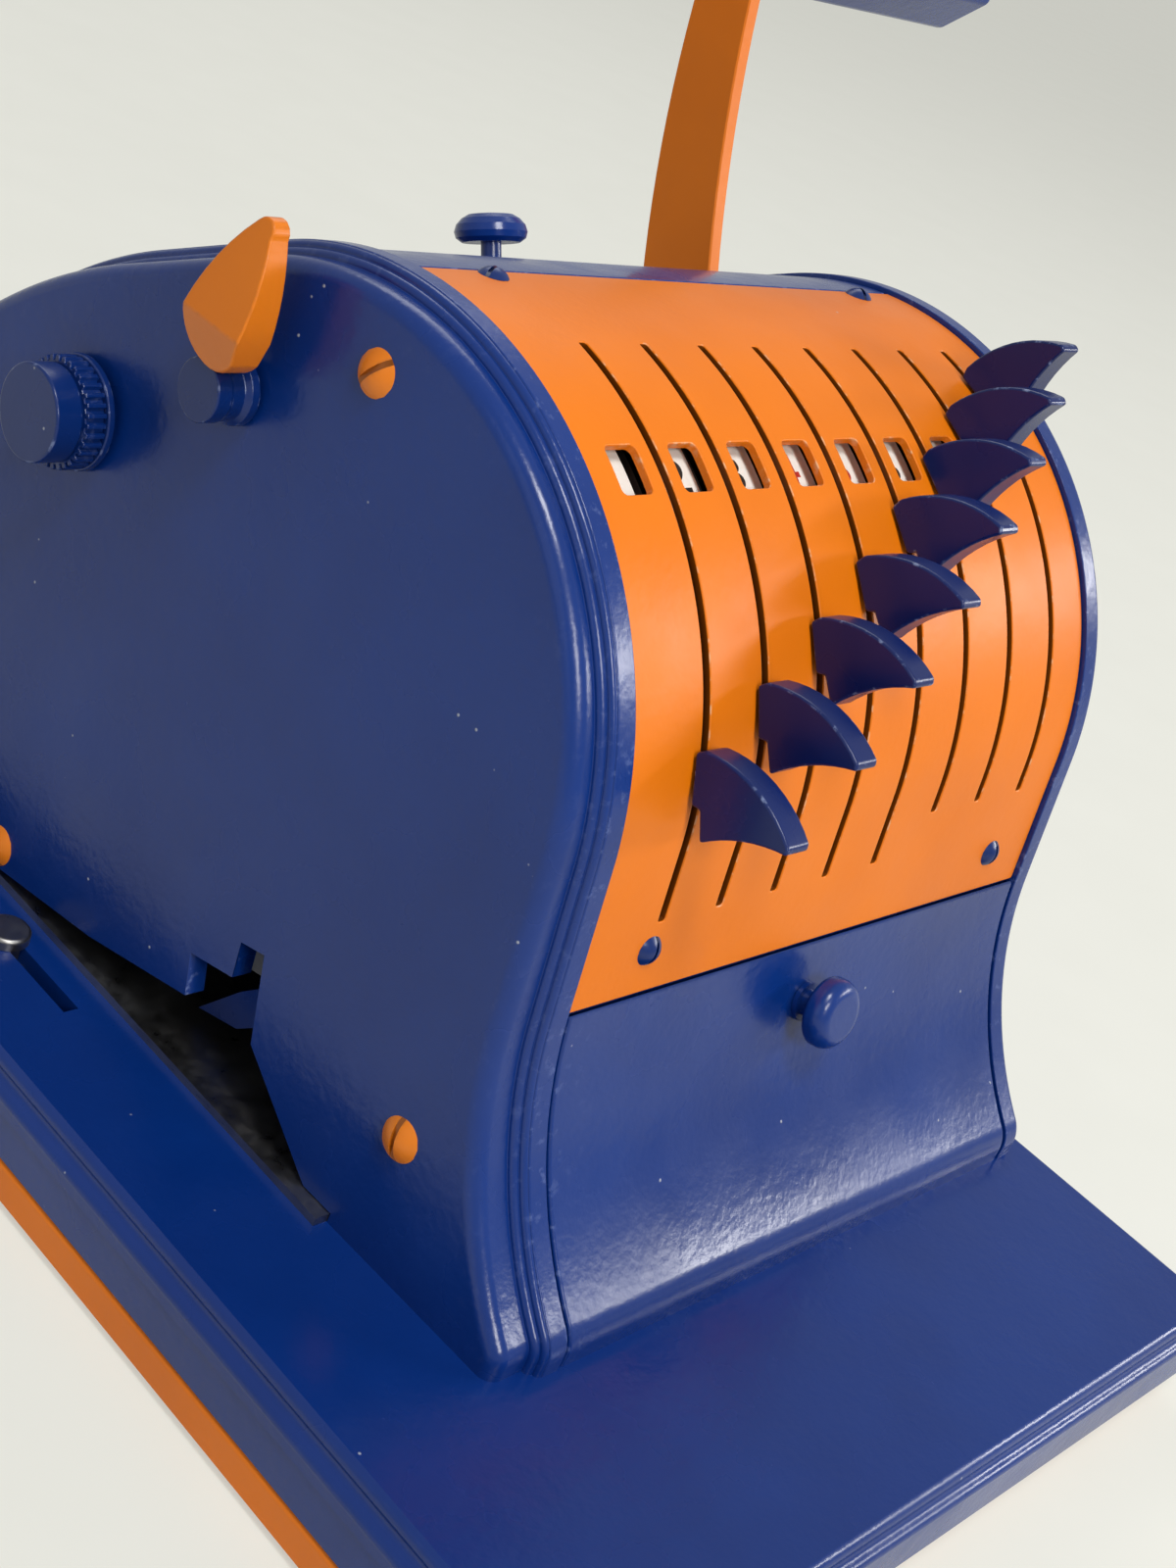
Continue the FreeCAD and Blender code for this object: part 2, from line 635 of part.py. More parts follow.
def gauge_button():
    """Stop for the edge of the check, sliding in the slot of the base."""
    head = Part.makeCylinder(GAUGE_HEAD_R, GAUGE_HEAD_H, Vector(GAUGE_X, GAUGE_Y, BASE_TOP + SEAT))
    head = head.makeFillet(GAUGE_ROUND, [e for e in head.Edges if e.BoundBox.ZMin > BASE_TOP + 1])
    half = GAUGE_SLOT / 2 - SEAT
    stem = block(GAUGE_X - half, GAUGE_X + half, GAUGE_Y - GAUGE_STEM_L / 2, GAUGE_Y + GAUGE_STEM_L / 2,
                 CAVITY_TOP - GAP, BASE_TOP + SEAT)
    clip_low = CAVITY_TOP - GAP - GAUGE_CLIP_T
    clip = Part.makeCylinder(GAUGE_HEAD_R, GAUGE_CLIP_T, Vector(GAUGE_X, GAUGE_Y, clip_low))
    return one_solid(head.fuse(stem).fuse(clip))


# ---- frames ----------------------------------------------------------------------------------
def throat_points():
    """Side view of the throat, from its rear end forward."""
    relief = BED_TOP + BED_RELIEF
    rear = BED_BACK + BED_RELIEF
    front = BED_FRONT - BED_RELIEF
    rear_end = [(rear, BASE_TOP - 1), (rear, relief), (THROAT_BED[1], relief)]
    front_end = [(THROAT_BED[0], relief), (front, relief), (front, BASE_TOP - 1)]
    return rear_end + list(THROAT_BACK) + list(THROAT_FRONT) + front_end


def inner_plate(side):
    x0, x1 = sorted((side * PLATE_IN, side * PLATE_OUT))
    plate = body(-SKIN - SEAT, x0, x1)
    bores = [(SHAFT_END_R, (0, 0)), (ROD_END_R, FRONT_ROD), (ROD_END_R, REAR_ROD),
             (SPOOL_SHAFT_R + FIT, FRONT_SPOOL), (SPOOL_SHAFT_R + FIT, REAR_SPOOL)]
    if side < 0:
        bores.append((FINGER_SHAFT_R + FIT, FINGER_HUB))
        plate = plate.cut(slab(throat_points(), x0 - 1, x1 + 1))
    else:
        bores.append((HANDLE_SHAFT_R + FIT + BUSH_WALL, HANDLE))
    for radius, place in bores:
        plate = plate.cut(cylinder_x(radius, place, x0 - 1, x1 + 1))
    return plate.cut(side_screw_holes(side, SIDE_SHANK_R))


def face_x(side, y, z):
    """Outer face of a side frame at a place."""
    if side > 0:
        return RIGHT_FACE
    return -(LEFT_FACE + LEFT_FLARE_Y * y + LEFT_FLARE_Z * z)


def face_normal(side):
    normal = Vector(1, 0, 0) if side > 0 else Vector(-1, -LEFT_FLARE_Y, -LEFT_FLARE_Z)
    return normal.normalize()


def face_cutter(side, inward):
    """Everything outside the frame's outer face, moved inward by a distance."""
    corners = [(-FAR, -FAR), (-FAR, FAR), (FAR, FAR), (FAR, -FAR)]
    points = [Vector(face_x(side, y, z) - side * inward, y, z) for y, z in corners]
    face = Part.Face(Part.makePolygon(points + points[:1]))
    return face.extrude(Vector(side * FAR, 0, 0))


def side_screw_places(side):
    return LEFT_SCREWS if side < 0 else RIGHT_SCREWS


def side_screw_holes(side, radius):
    """Holes for the screws of one side frame, as deep as its inner plate."""
    holes = []
    for y, z in side_screw_places(side):
        x = face_x(side, y, z)
        holes.append(shank_hole(Vector(x, y, z), face_normal(side), radius, abs(x) - PLATE_IN + SEAT))
    return Part.makeCompound(holes)


def rounded_slab(side, grow, depth, radius):
    """Slab of the body's outline whose outer edge is rounded along the skin."""
    solid = body(grow, side * FRAME_IN, side * (FRAME_IN + depth))
    x_out = side * (FRAME_IN + depth)
    edges = [e for e in solid.Edges
             if abs(e.CenterOfMass.x - x_out) < 0.01 and e.BoundBox.ZMax > BASE_TOP + 0.1]
    return solid.makeFillet(radius, edges)


def side_frame(side):
    """Hollow casting with a stepped moulding round its rim, open towards the inner plate."""
    rim = rounded_slab(side, RIM_PROUD, RIM_W, RIM_EDGE)
    first = rounded_slab(side, RIM_PROUD - STEP, RIM_W + ROUND_A, ROUND_A)
    inset = RIM_PROUD - 2 * STEP - ROUND_A
    second = rounded_slab(side, inset, RIM_W + ROUND_A + ROUND_B, ROUND_B)
    inset -= STEP + ROUND_B
    main = body(inset, side * FRAME_IN, side * FAR).cut(face_cutter(side, 0))
    outer = max(main.Faces, key=lambda f: f.Area * (abs(f.normalAt(0, 0).x) > 0.9) * (
        side * f.CenterOfMass.x > FRAME_IN + 1))
    edges = [e for e in outer.Edges if e.BoundBox.ZMax > BASE_TOP + 0.1]
    main = main.makeFillet(SHOULDER, edges)
    frame = rim.fuse([first, second, main])
    hollow = Part.Face(outline(RIM_PROUD, side * (FRAME_IN - 1))).makeOffset2D(-CAVITY_INSET)
    hollow = hollow.extrude(Vector(side * FAR, 0, 0))
    frame = frame.cut(hollow.cut(face_cutter(side, WALL)))
    for y, z in side_screw_places(side):
        x = face_x(side, y, z)
        boss = cylinder_x(SIDE_BOSS_R, (y, z), min(x, side * PLATE_OUT), max(x, side * PLATE_OUT))
        frame = frame.fuse(boss.cut(face_cutter(side, 1)))
    if side < 0:
        frame = frame.cut(slab(throat_points(), -FAR / 2, -FRAME_IN + 1))
        frame = frame.cut(cylinder_x(FINGER_SHAFT_R + FIT, FINGER_HUB, -FAR / 2, 0))
        frame = frame.cut(cylinder_x(SPOOL_SHAFT_R + FIT, REAR_SPOOL, -FAR / 2, 0))
    else:
        frame = frame.cut(cylinder_x(HANDLE_SHAFT_R + FIT + BUSH_WALL, HANDLE, 0, FAR / 2))
    return one_solid(frame.cut(side_screw_holes(side, SIDE_SHANK_R + SEAT)))


def side_screws():
    screws = []
    for side in (-1, 1):
        for y, z in side_screw_places(side):
            x = face_x(side, y, z)
            length = abs(x) - PLATE_IN
            screws.append(domed_screw(Vector(x, y, z), face_normal(side), SIDE_HEAD_R, SIDE_HEAD_H,
                                      SIDE_SHANK_R, length))
    return Part.makeCompound(screws)


def tie_rods():
    rods = []
    for place in (FRONT_ROD, REAR_ROD):
        rod = cylinder_x(ROD_R, place, -PLATE_IN, PLATE_IN)
        rod = one_solid(rod.fuse(cylinder_x(ROD_END_R, place, -PLATE_OUT, PLATE_OUT)))
        for side in (-1, 1):
            rod = rod.cut(side_screw_holes(side, SIDE_SHANK_R))
        rods.append(rod)
    return Part.makeCompound(rods)


def bar_under(place, angle):
    """Flat bar between the inner plates, its outer face at a place."""
    bar = block(-PLATE_IN, PLATE_IN, 0, BAR_T, -BAR_W / 2, BAR_W / 2)
    bar = swing(bar, angle)
    bar.translate(place)
    return bar


def drum_flat_point(angle, distance, grow):
    """Point of the flat that leaves the drum at an angle."""
    return out(angle) * (DRUM_R + grow) + along(angle) * distance


def dome_knob_place(grow=COVER_PROUD):
    return skirt_point(DOME_SLOPE, grow)


def top_knob_place():
    return drum_flat_point(BACK_ANGLE, TOP_KNOB_ALONG, 0) + X_AXIS * TOP_KNOB_X


def cover_bars():
    under = -SKIN - SEAT
    through = 4 * BAR_T
    panel_bar = bar_under(drum_flat_point(FRONT_LEAN, PANEL_SCREW_LOW, under), FRONT_LEAN)
    for place in panel_screw_places()[2:]:
        panel_bar = panel_bar.cut(shank_hole(place, out(FRONT_LEAN), PANEL_SHANK_R, through))
    rear_bar = bar_under(drum_flat_point(BACK_ANGLE, TOP_KNOB_ALONG, under), BACK_ANGLE)
    shank = shank_hole(top_knob_place(), out(BACK_ANGLE), TOP_KNOB_STEM_R + FIT, through)
    rear_bar = rear_bar.cut(shank)
    knob_bar = bar_under(dome_knob_place(COVER_PROUD - COVER_T - SEAT), DOME_SLOPE)
    knob_bar = knob_bar.cut(shank_hole(dome_knob_place(), out(DOME_SLOPE), DOME_STEM_R + FIT, through))
    return Part.makeCompound([panel_bar, rear_bar, knob_bar])


def panel_top_rail():
    r_out = DRUM_R - SKIN - SEAT
    rail = ring_part(r_out - RAIL_T, r_out, RAIL_FROM, RAIL_TO, -PLATE_IN, PLATE_IN)
    for place in panel_screw_places()[:2]:
        rail = rail.cut(shank_hole(place, out(PANEL_SCREW_TOP), PANEL_SHANK_R, 4 * RAIL_T))
    return rail


# ---- skins -----------------------------------------------------------------------------------
def panel_screw_places():
    """Top pair, then bottom pair, on the panel's surface."""
    top = out(PANEL_SCREW_TOP) * DRUM_R
    low = drum_flat_point(FRONT_LEAN, PANEL_SCREW_LOW, 0)
    return [Vector(x, point.y, point.z) for point in (top, low) for x in PANEL_SCREW_X]


def panel_screw_axes():
    return [out(PANEL_SCREW_TOP)] * 2 + [out(FRONT_LEAN)] * 2


def wedge(points, x=HALF_WIDTH + 5):
    return slab(points, -x, x)


def window_tool():
    half = DRUM_R / 10
    tool = block(-WINDOW_W / 2, WINDOW_W / 2, -DRUM_R - half, -DRUM_R + half,
                 -WINDOW_H / 2, WINDOW_H / 2)
    corners = [e for e in tool.Edges if abs(e.tangentAt(e.FirstParameter).y) > 0.9]
    return swing(tool.makeFillet(WINDOW_CORNER, corners), WINDOW_ANGLE)


def front_panel():
    rear = out(PANEL_EDGE) * FAR
    region = wedge([(0, SEAM_Z), (0, 0), (rear.y, rear.z), (-FAR, FAR), (-FAR, SEAM_Z)])
    panel = skin(0, SKIN, -HALF_WIDTH, HALF_WIDTH).common(region)
    window = window_tool()
    for index in range(COUNT):
        x = slot_x(index)
        panel = panel.cut(ring_part(DRUM_R - 6, DRUM_R + 6, slot_low(index), SLOT_TOP,
                                    x - SLOT_W / 2, x + SLOT_W / 2))
        opening = window.copy()
        opening.translate(Vector(x - WINDOW_SIDE, 0, 0))
        panel = panel.cut(opening)
    for place, axis in zip(panel_screw_places(), panel_screw_axes()):
        panel = panel.cut(shank_hole(place, axis, PANEL_SHANK_R + SEAT, 8.0))
    return panel


def panel_screws():
    length = SKIN + SEAT + RAIL_T
    screws = [domed_screw(place, axis, PANEL_HEAD_R, PANEL_HEAD_H, PANEL_SHANK_R, length)
              for place, axis in zip(panel_screw_places(), panel_screw_axes())]
    return Part.makeCompound(screws)


def lower_cover():
    region = wedge([(0, SEAM_Z - SEAM_GAP), (-FAR, SEAM_Z - SEAM_GAP), (-FAR, -FAR), (0, -FAR)])
    half = HALF_WIDTH - COVER_SIDE
    cover = one_solid(skin(COVER_PROUD, COVER_T, -half, half).common(region))
    rims = [e for e in cover.Edges if on_outline(e, COVER_PROUD)]
    cover = cover.makeFillet(COVER_ROUND, rims)
    cover = cover.cut(shank_hole(dome_knob_place(), out(DOME_SLOPE), DOME_STEM_R + SEAT, 8.0))
    return one_solid(cover)


def rear_cover():
    edge = out(PANEL_EDGE + math.degrees(SEAM_GAP / DRUM_R)) * FAR
    region = wedge([(0, 0), (edge.y, edge.z), (FAR, FAR), (FAR, -FAR), (0, -FAR)])
    cover = skin(0, SKIN, -HALF_WIDTH, HALF_WIDTH).common(region)
    return cover.cut(shank_hole(top_knob_place(), out(BACK_ANGLE), TOP_KNOB_STEM_R + SEAT, 8.0))


def cover_knob():
    """Thumb screw of the lower cover: a domed head on a collar."""
    inside = COVER_T + SEAT + BAR_T
    stem = Part.makeCylinder(DOME_STEM_R, DOME_LOW + 1 + inside, Vector(0, 0, -inside))
    collar = Part.makeCylinder(DOME_STEM_R + DOME_COLLAR, DOME_COLLAR_T, Vector(0, 0, SEAT))
    head = Part.makeCylinder(DOME_R, DOME_T, Vector(0, 0, DOME_LOW))
    middle = DOME_LOW + DOME_T / 2
    head = head.makeFillet(DOME_UNDER, [e for e in head.Edges if e.BoundBox.ZMax < middle])
    head = head.makeFillet(DOME_TOP, [e for e in head.Edges if e.BoundBox.ZMin > middle])
    knob = one_solid(stem.fuse([collar, head]))
    return set_on(knob, dome_knob_place(), out(DOME_SLOPE))


def rear_thumb_screw():
    """Mushroom-headed thumb screw of the rear cover."""
    inside = SKIN + SEAT + BAR_T
    stem = Part.makeCylinder(TOP_KNOB_STEM_R, TOP_KNOB_REACH + inside + 1, Vector(0, 0, -inside))
    low = TOP_KNOB_REACH
    profile = [(TOP_KNOB_R - inward, low + up) for inward, up in TOP_KNOB_CAP]
    profile = [(0, low)] + profile + [(0, low + TOP_KNOB_T)]
    head = revolved(profile, ORIGIN, Vector(0, 0, 1))
    knob = one_solid(stem.fuse(head))
    return set_on(knob, top_knob_place(), out(BACK_ANGLE))


# ---- sectors and levers ----------------------------------------------------------------------
def sector():
    """Number sector drawn with its tab at the front: web, type, number band, hub and detent."""
    band = (-STRIP_LEFT, -min(STRIP_RIGHT))
    half = TAB_T / 2
    web = ring_part(HUB_R - 1, WEB_R, TYPE_FROM - WEB_MARGIN, STRIP_TO + WEB_MARGIN, -half, half)
    type_rim = ring_part(WEB_R - TYPE_DEPTH, WEB_R, TYPE_FROM, TYPE_TO, -TYPE_W, half)
    bridge = ring_part(WEB_R - DRUM_BAND, WEB_R, STRIP_FROM, STRIP_TO, band[0], half)
    number_band = ring_part(WEB_R - DRUM_BAND, STRIP_R - STRIP_T, STRIP_FROM, STRIP_TO, band[0], band[1])
    hub_end = band[0] + PITCH - HUB_SIDE_GAP
    hub = cylinder_x(HUB_R, (0, 0), band[0], hub_end)
    detent_x = band[0] + DETENT_SET
    detent = cylinder_x(DETENT_R, (0, 0), detent_x, detent_x + DETENT_T)
    for figure in range(-FIGURES_DOWN, FIGURES_UP + 1):
        angle = DETENT_ANGLE - FIRST_ANGLE - figure * DIGIT_STEP
        centre = out(angle) * (DETENT_R + NOTCH_R - NOTCH_DEPTH)
        detent = detent.cut(cylinder_x(NOTCH_R, (centre.y, centre.z), -PITCH, PITCH))
    tab = block(-half, half, -FIN_TAB_R + SEAT, -WEB_R + 2, -TAB_HALF, TAB_HALF)
    whole = web.fuse([type_rim, bridge, number_band, hub, detent, tab])
    return one_solid(whole.cut(cylinder_x(SHAFT_R + FIT, (0, 0), -2 * PITCH, 2 * PITCH)))


def fin():
    """Finger piece of a digit lever, drawn at the front of the drum."""
    x = -FIN_T / 2
    foot = [(FIN_LIFT + FIN_RELIEF, FIN_STEP[1] + FIN_LIFT), (FIN_LIFT, FIN_HEEL[1] - 2 * FIN_LIFT)]
    top = [FIN_HEEL, FIN_CROWN, FIN_TIP_TOP]
    low = [FIN_TIP_LOW, FIN_BELLY, FIN_CHIN, FIN_STEP]
    p = [Vector(x, -DRUM_R - above, v) for above, v in foot + top + low]
    edges = [
        Part.makeLine(p[0], p[1]), Part.makeLine(p[1], p[2]), arc(p[2], p[3], p[4]),
        Part.makeLine(p[4], p[5]), arc(p[5], p[6], p[7]), Part.makeLine(p[7], p[8]),
        Part.makeLine(p[8], p[0]),
    ]
    solid = prism(Part.Wire(edges), -x)
    half = TAB_T / 2 + FIT
    side = TAB_HALF + FIT
    solid = solid.cut(block(-half, half, -FIN_TAB_R, 0, -side, side))
    across = [e for e in solid.Edges if e.BoundBox.XLength > FIN_T - 1]
    heel = FIN_HEEL[1] - FIN_EDGE
    chin = DRUM_R + FIN_STEP[0] + FIN_EDGE
    corners = [e for e in across if -e.CenterOfMass.y > chin or e.CenterOfMass.z > heel]
    solid = solid.makeFillet(FIN_CORNER, corners)
    flanks = [e for e in solid.Edges if abs(abs(e.CenterOfMass.x) + x) < 0.01]
    return solid.makeFillet(FIN_EDGE, flanks)


def number_strip(index):
    return ring_part(STRIP_R - STRIP_T, STRIP_R, STRIP_FROM, STRIP_TO, -STRIP_LEFT, -STRIP_RIGHT[index])


def save_sectors():
    drawn = {"sector": sector(), "lever": fin()}
    for index in range(COUNT):
        drawn["number_strip"] = number_strip(index)
        for name, shape in drawn.items():
            placed = swing(shape, lever_angle(index))
            placed.translate(Vector(slot_x(index), 0, 0))
            save(f"{name}_{index + 1}", placed)


def sector_shaft():
    shaft = cylinder_x(SHAFT_R, (0, 0), -PLATE_IN, PLATE_IN)
    ends = cylinder_x(SHAFT_END_R, (0, 0), -PLATE_OUT, PLATE_OUT)
    first = slot_x(0) - STRIP_LEFT - HUB_SIDE_GAP
    last = slot_x(COUNT - 1) - STRIP_LEFT + PITCH
    left = cylinder_x(SHAFT_COLLAR_R, (0, 0), -PLATE_IN, first)
    right = cylinder_x(SHAFT_COLLAR_R, (0, 0), last, PLATE_IN)
    return one_solid(shaft.fuse([ends, left, right]))


def detent_bar():
    bar = block(-PLATE_IN, PLATE_IN, -DETENT_BAR_R - DETENT_BAR_W, -DETENT_BAR_R,
                -DETENT_BAR_T - COMB_T / 2, -COMB_T / 2)
    return swing(bar, DETENT_ANGLE)


def detent_comb():
    set_in = DETENT_SET - STRIP_LEFT
    first = slot_x(0) + set_in
    last = slot_x(COUNT - 1) + set_in + COMB_FINGER
    comb = block(first, last, -DETENT_BAR_R - DETENT_BAR_W, -DETENT_BAR_R, -COMB_T / 2, COMB_T / 2)
    for index in range(COUNT):
        x = slot_x(index) + set_in
        comb = comb.fuse(block(x, x + COMB_FINGER, -DETENT_BAR_R, -DETENT_R - COMB_REACH,
                               -COMB_T / 2, COMB_T / 2))
    return swing(one_solid(comb), DETENT_ANGLE)


# ---- ribbon ----------------------------------------------------------------------------------
def spool(place, x_shaft):
    """Ribbon spool on its own shaft, with the wound ribbon."""
    lo = SPOOL_MIDDLE - RIBBON_HALF - GAP
    hi = SPOOL_MIDDLE + RIBBON_HALF + GAP
    core = cylinder_x(PACK_R, place, lo, hi)
    flanges = [cylinder_x(FLANGE_R, place, x, x + FLANGE_T) for x in (lo - FLANGE_T, hi)]
    shaft = cylinder_x(SPOOL_SHAFT_R, place, x_shaft, PLATE_OUT)
    return one_solid(core.fuse(flanges + [shaft]))


def knob_plane(place, radius):
    """Inner face of a round piece that turns just clear of the left frame."""
    tilt = math.hypot(LEFT_FLARE_Y, LEFT_FLARE_Z) * radius
    return face_x(-1, *place) - tilt - GAP


def ribbon_knob():
    x = knob_plane(REAR_SPOOL, KNOB_FLANGE_R)
    flange = cylinder_x(KNOB_FLANGE_R, REAR_SPOOL, x - KNOB_FLANGE_T, x)
    x -= KNOB_FLANGE_T
    knurl = cylinder_x(KNURL_R, REAR_SPOOL, x - KNURL_T, x)
    for index in range(KNURL_COUNT):
        ray = out(360.0 * index / KNURL_COUNT) * KNURL_R
        place = (REAR_SPOOL[0] + ray.y, REAR_SPOOL[1] + ray.z)
        knurl = knurl.cut(cylinder_x(KNURL_DEPTH, place, x - KNURL_T, x))
    x -= KNURL_T
    barrel = cylinder_x(BARREL_R, REAR_SPOOL, x - BARREL_T, x)
    outer = [e for e in barrel.Edges if e.BoundBox.XMax < x - BARREL_T + 0.1]
    barrel = barrel.makeFillet(BARREL_EDGE, outer)
    knob = flange.fuse([knurl, barrel])
    return one_solid(knob.cut(cylinder_x(SPOOL_SHAFT_R, REAR_SPOOL, x, 0)))


def ink_ribbon():
    """Ribbon from the front spool under the type and the rear rod, and up to the rear spool."""
    inner = ROD_R + SEAT
    outer = inner + RIBBON_T
    y, z = REAR_ROD
    x0 = SPOOL_MIDDLE - RIBBON_HALF
    low = out(-135)
    centre = Vector(x0, y, z)
    top = REAR_SPOOL[1]
    edges = [
        Part.makeLine(Vector(x0, FRONT_SPOOL_Y, z - inner), Vector(x0, y, z - inner)),
        arc(Vector(x0, y, z - inner), centre + low * inner, Vector(x0, y + inner, z)),
        Part.makeLine(Vector(x0, y + inner, z), Vector(x0, y + inner, top)),
        Part.makeLine(Vector(x0, y + inner, top), Vector(x0, y + outer, top)),
        Part.makeLine(Vector(x0, y + outer, top), Vector(x0, y + outer, z)),
        arc(Vector(x0, y + outer, z), centre + low * outer, Vector(x0, y, z - outer)),
        Part.makeLine(Vector(x0, y, z - outer), Vector(x0, FRONT_SPOOL_Y, z - outer)),
        Part.makeLine(Vector(x0, FRONT_SPOOL_Y, z - outer), Vector(x0, FRONT_SPOOL_Y, z - inner)),
    ]
    return prism(Part.Wire(edges), SPOOL_MIDDLE + RIBBON_HALF)


def line_pointer():
    """Pointed arm beside the throat that shows where the line is printed."""
    arm = slab(POINTER_SIDE, POINTER_X, POINTER_X + POINTER_T)
    post = cylinder_x(POINTER_POST_R, POINTER_POST, POINTER_X, -PLATE_OUT)
    return one_solid(arm.fuse(post))


# ---- finger lever ----------------------------------------------------------------------------
def tangent_outline(c1, r1, c2, r2, x):
    """Wire round two circles and their outer tangents."""
    dy, dz = c2[0] - c1[0], c2[1] - c1[1]
    distance = math.hypot(dy, dz)
    heading = math.atan2(dz, dy)
    spread = math.acos((r1 - r2) / distance)

    def at(centre, radius, angle):
        return Vector(x, centre[0] + radius * math.cos(angle), centre[1] + radius * math.sin(angle))

    a, b = heading + spread, heading - spread
    return Part.Wire([
        arc(at(c1, r1, a), at(c1, r1, heading + math.pi), at(c1, r1, b)),
        Part.makeLine(at(c1, r1, b), at(c2, r2, b)),
        arc(at(c2, r2, b), at(c2, r2, heading), at(c2, r2, a)),
        Part.makeLine(at(c2, r2, a), at(c1, r1, a)),
    ])


def finger_lever():
    """Teardrop lever on a round hub, with its stub shaft and a small cam inside."""
    drop = prism(tangent_outline(FINGER_LOW, FINGER_LOW_R, FINGER_TIP, FINGER_TIP_R, -FINGER_INNER),
                 -FINGER_OUTER)
    bevel = [Vector(inward - FINGER_OUTER, -FAR, FINGER_BEND - down) for inward, down in FINGER_BEVEL]
    bevel.append(bevel[-1] - X_AXIS * FINGER_OUTER)
    bevel.append(bevel[0] - X_AXIS * FINGER_OUTER)
    bevel = Part.Face(Part.makePolygon(bevel + bevel[:1]))
    drop = drop.cut(bevel.extrude(Vector(0, 2 * FAR, 0)))
    x = knob_plane(FINGER_HUB, FINGER_HUB_R)
    hub = cylinder_x(FINGER_HUB_R, FINGER_HUB, x - FINGER_HUB_L, x)
    neck = tangent_outline(FINGER_HUB, FINGER_HUB_R, FINGER_LOW, FINGER_HUB_R, -FINGER_INNER)
    neck = prism(neck, -FINGER_INNER - FINGER_NECK_T)
    shaft_end = -PLATE_IN + FINGER_CAM_T + GAP
    shaft = cylinder_x(FINGER_SHAFT_R, FINGER_HUB, x, shaft_end)
    cam = cylinder_x(FINGER_CAM_R, FINGER_HUB, shaft_end - FINGER_CAM_T, shaft_end)
    return one_solid(hub.fuse([neck, drop, shaft, cam]))


# ---- handle and platen -----------------------------------------------------------------------
def arm_x():
    return RIGHT_FACE + ARM_GAP


def arm_centre():
    """Centre of the curve that the arm's middle line follows, in front of the arm."""
    a = Vector(0, HANDLE[0], HANDLE[1])
    b = Vector(0, GRIP[0], GRIP[1])
    half = (b - a) * 0.5
    rise = math.sqrt(ARM_R ** 2 - half.Length ** 2)
    towards_back = Vector(0, half.z, -half.y).normalize()
    return a + half - towards_back * rise


def handle_arm():
    x = arm_x()
    centre = arm_centre()
    a = Vector(0, HANDLE[0], HANDLE[1])
    b = Vector(0, GRIP[0], GRIP[1])
    lift = Vector(x, 0, 0)
    rays = [(p - centre).normalize() for p in (a, (a + b) * 0.5, b)]
    front = [lift + centre + ray * (ARM_R - half) for ray, half in zip(rays, ARM_HALF)]
    back = [lift + centre + ray * (ARM_R + half) for ray, half in zip(rays, ARM_HALF)]
    cap = lift + b + (b - a).normalize() * ARM_HALF[-1]
    blade = prism(Part.Wire([
        arc(*front), arc(front[-1], cap, back[-1]), arc(*reversed(back)),
        Part.makeLine(back[0], front[0]),
    ]), x + ARM_T)
    hub = cylinder_x(ARM_HUB_R, HANDLE, x, x + ARM_T)
    arm = one_solid(blade.fuse(hub))
    rims = [e for e in arm.Edges if abs(e.BoundBox.XMax - e.BoundBox.XMin) < 0.01]
    arm = arm.makeChamfer(ARM_EDGE, rims)
    boss = cylinder_x(ARM_BOSS_R, HANDLE, x + ARM_T, x + ARM_T + ARM_BOSS_T)
    face = x + ARM_T + ARM_BOSS_T / 2
    boss = boss.makeFillet(ARM_BOSS_EDGE, [e for e in boss.Edges if e.BoundBox.XMin > face])
    return one_solid(arm.fuse(boss).cut(cylinder_x(HANDLE_SHAFT_R, HANDLE, x - 1, x + FAR)))


def handle_grip():
    half = math.pi / GRIP_SIDES
    radius = GRIP_FLATS / 2 / math.cos(half)
    x = arm_x() + ARM_T
    turns = [half * (2 * k + 1) for k in range(GRIP_SIDES)]
    points = [(GRIP[0] + radius * math.cos(t), GRIP[1] + radius * math.sin(t)) for t in turns]
    grip = slab(points, x, x + GRIP_L)
    return grip.makeFillet(GRIP_EDGE, grip.Edges)


def handle_shaft():
    """Shaft with the eccentric crank pin inside the right plate."""
    crank_out = PLATE_IN - GAP
    shaft = cylinder_x(HANDLE_SHAFT_R, HANDLE, crank_out, arm_x() + ARM_T + ARM_BOSS_T + SHAFT_PROUD)
    crank = cylinder_x(CRANK_R, HANDLE, crank_out - CRANK_T, crank_out)
    pin = cylinder_x(PIN_R, PIN_YZ, LINK_IN - SEAT, crank_out)
    return one_solid(shaft.fuse([crank, pin]))


def handle_bushes():
    bushes = []
    for x0, x1 in ((PLATE_IN, PLATE_OUT), (RIGHT_FACE - WALL, RIGHT_FACE)):
        tube = cylinder_x(HANDLE_SHAFT_R + FIT + BUSH_WALL, HANDLE, x0, x1)
        bushes.append(tube.cut(cylinder_x(HANDLE_SHAFT_R + FIT, HANDLE, x0 - 1, x1 + 1)))
    return Part.makeCompound(bushes)


def return_spring():
    """Torsion spring round the handle shaft, between the plate and the cast frame."""
    room = RIGHT_FACE - WALL - PLATE_OUT
    wire_r = SPRING_WIRE_R
    pitch = (room - 2 * wire_r - 2 * GAP) / SPRING_TURNS
    helix = Part.makeHelix(pitch, pitch * SPRING_TURNS, SPRING_COIL_R)
    circle = Part.Wire(Part.makeCircle(wire_r, Vector(SPRING_COIL_R, 0, 0), Vector(0, 1, 0)))
    coil = Part.Wire(helix.Edges).makePipeShell([circle], True, True)
    return set_on(coil, Vector(PLATE_OUT + GAP + wire_r, HANDLE[0], HANDLE[1]), X_AXIS)


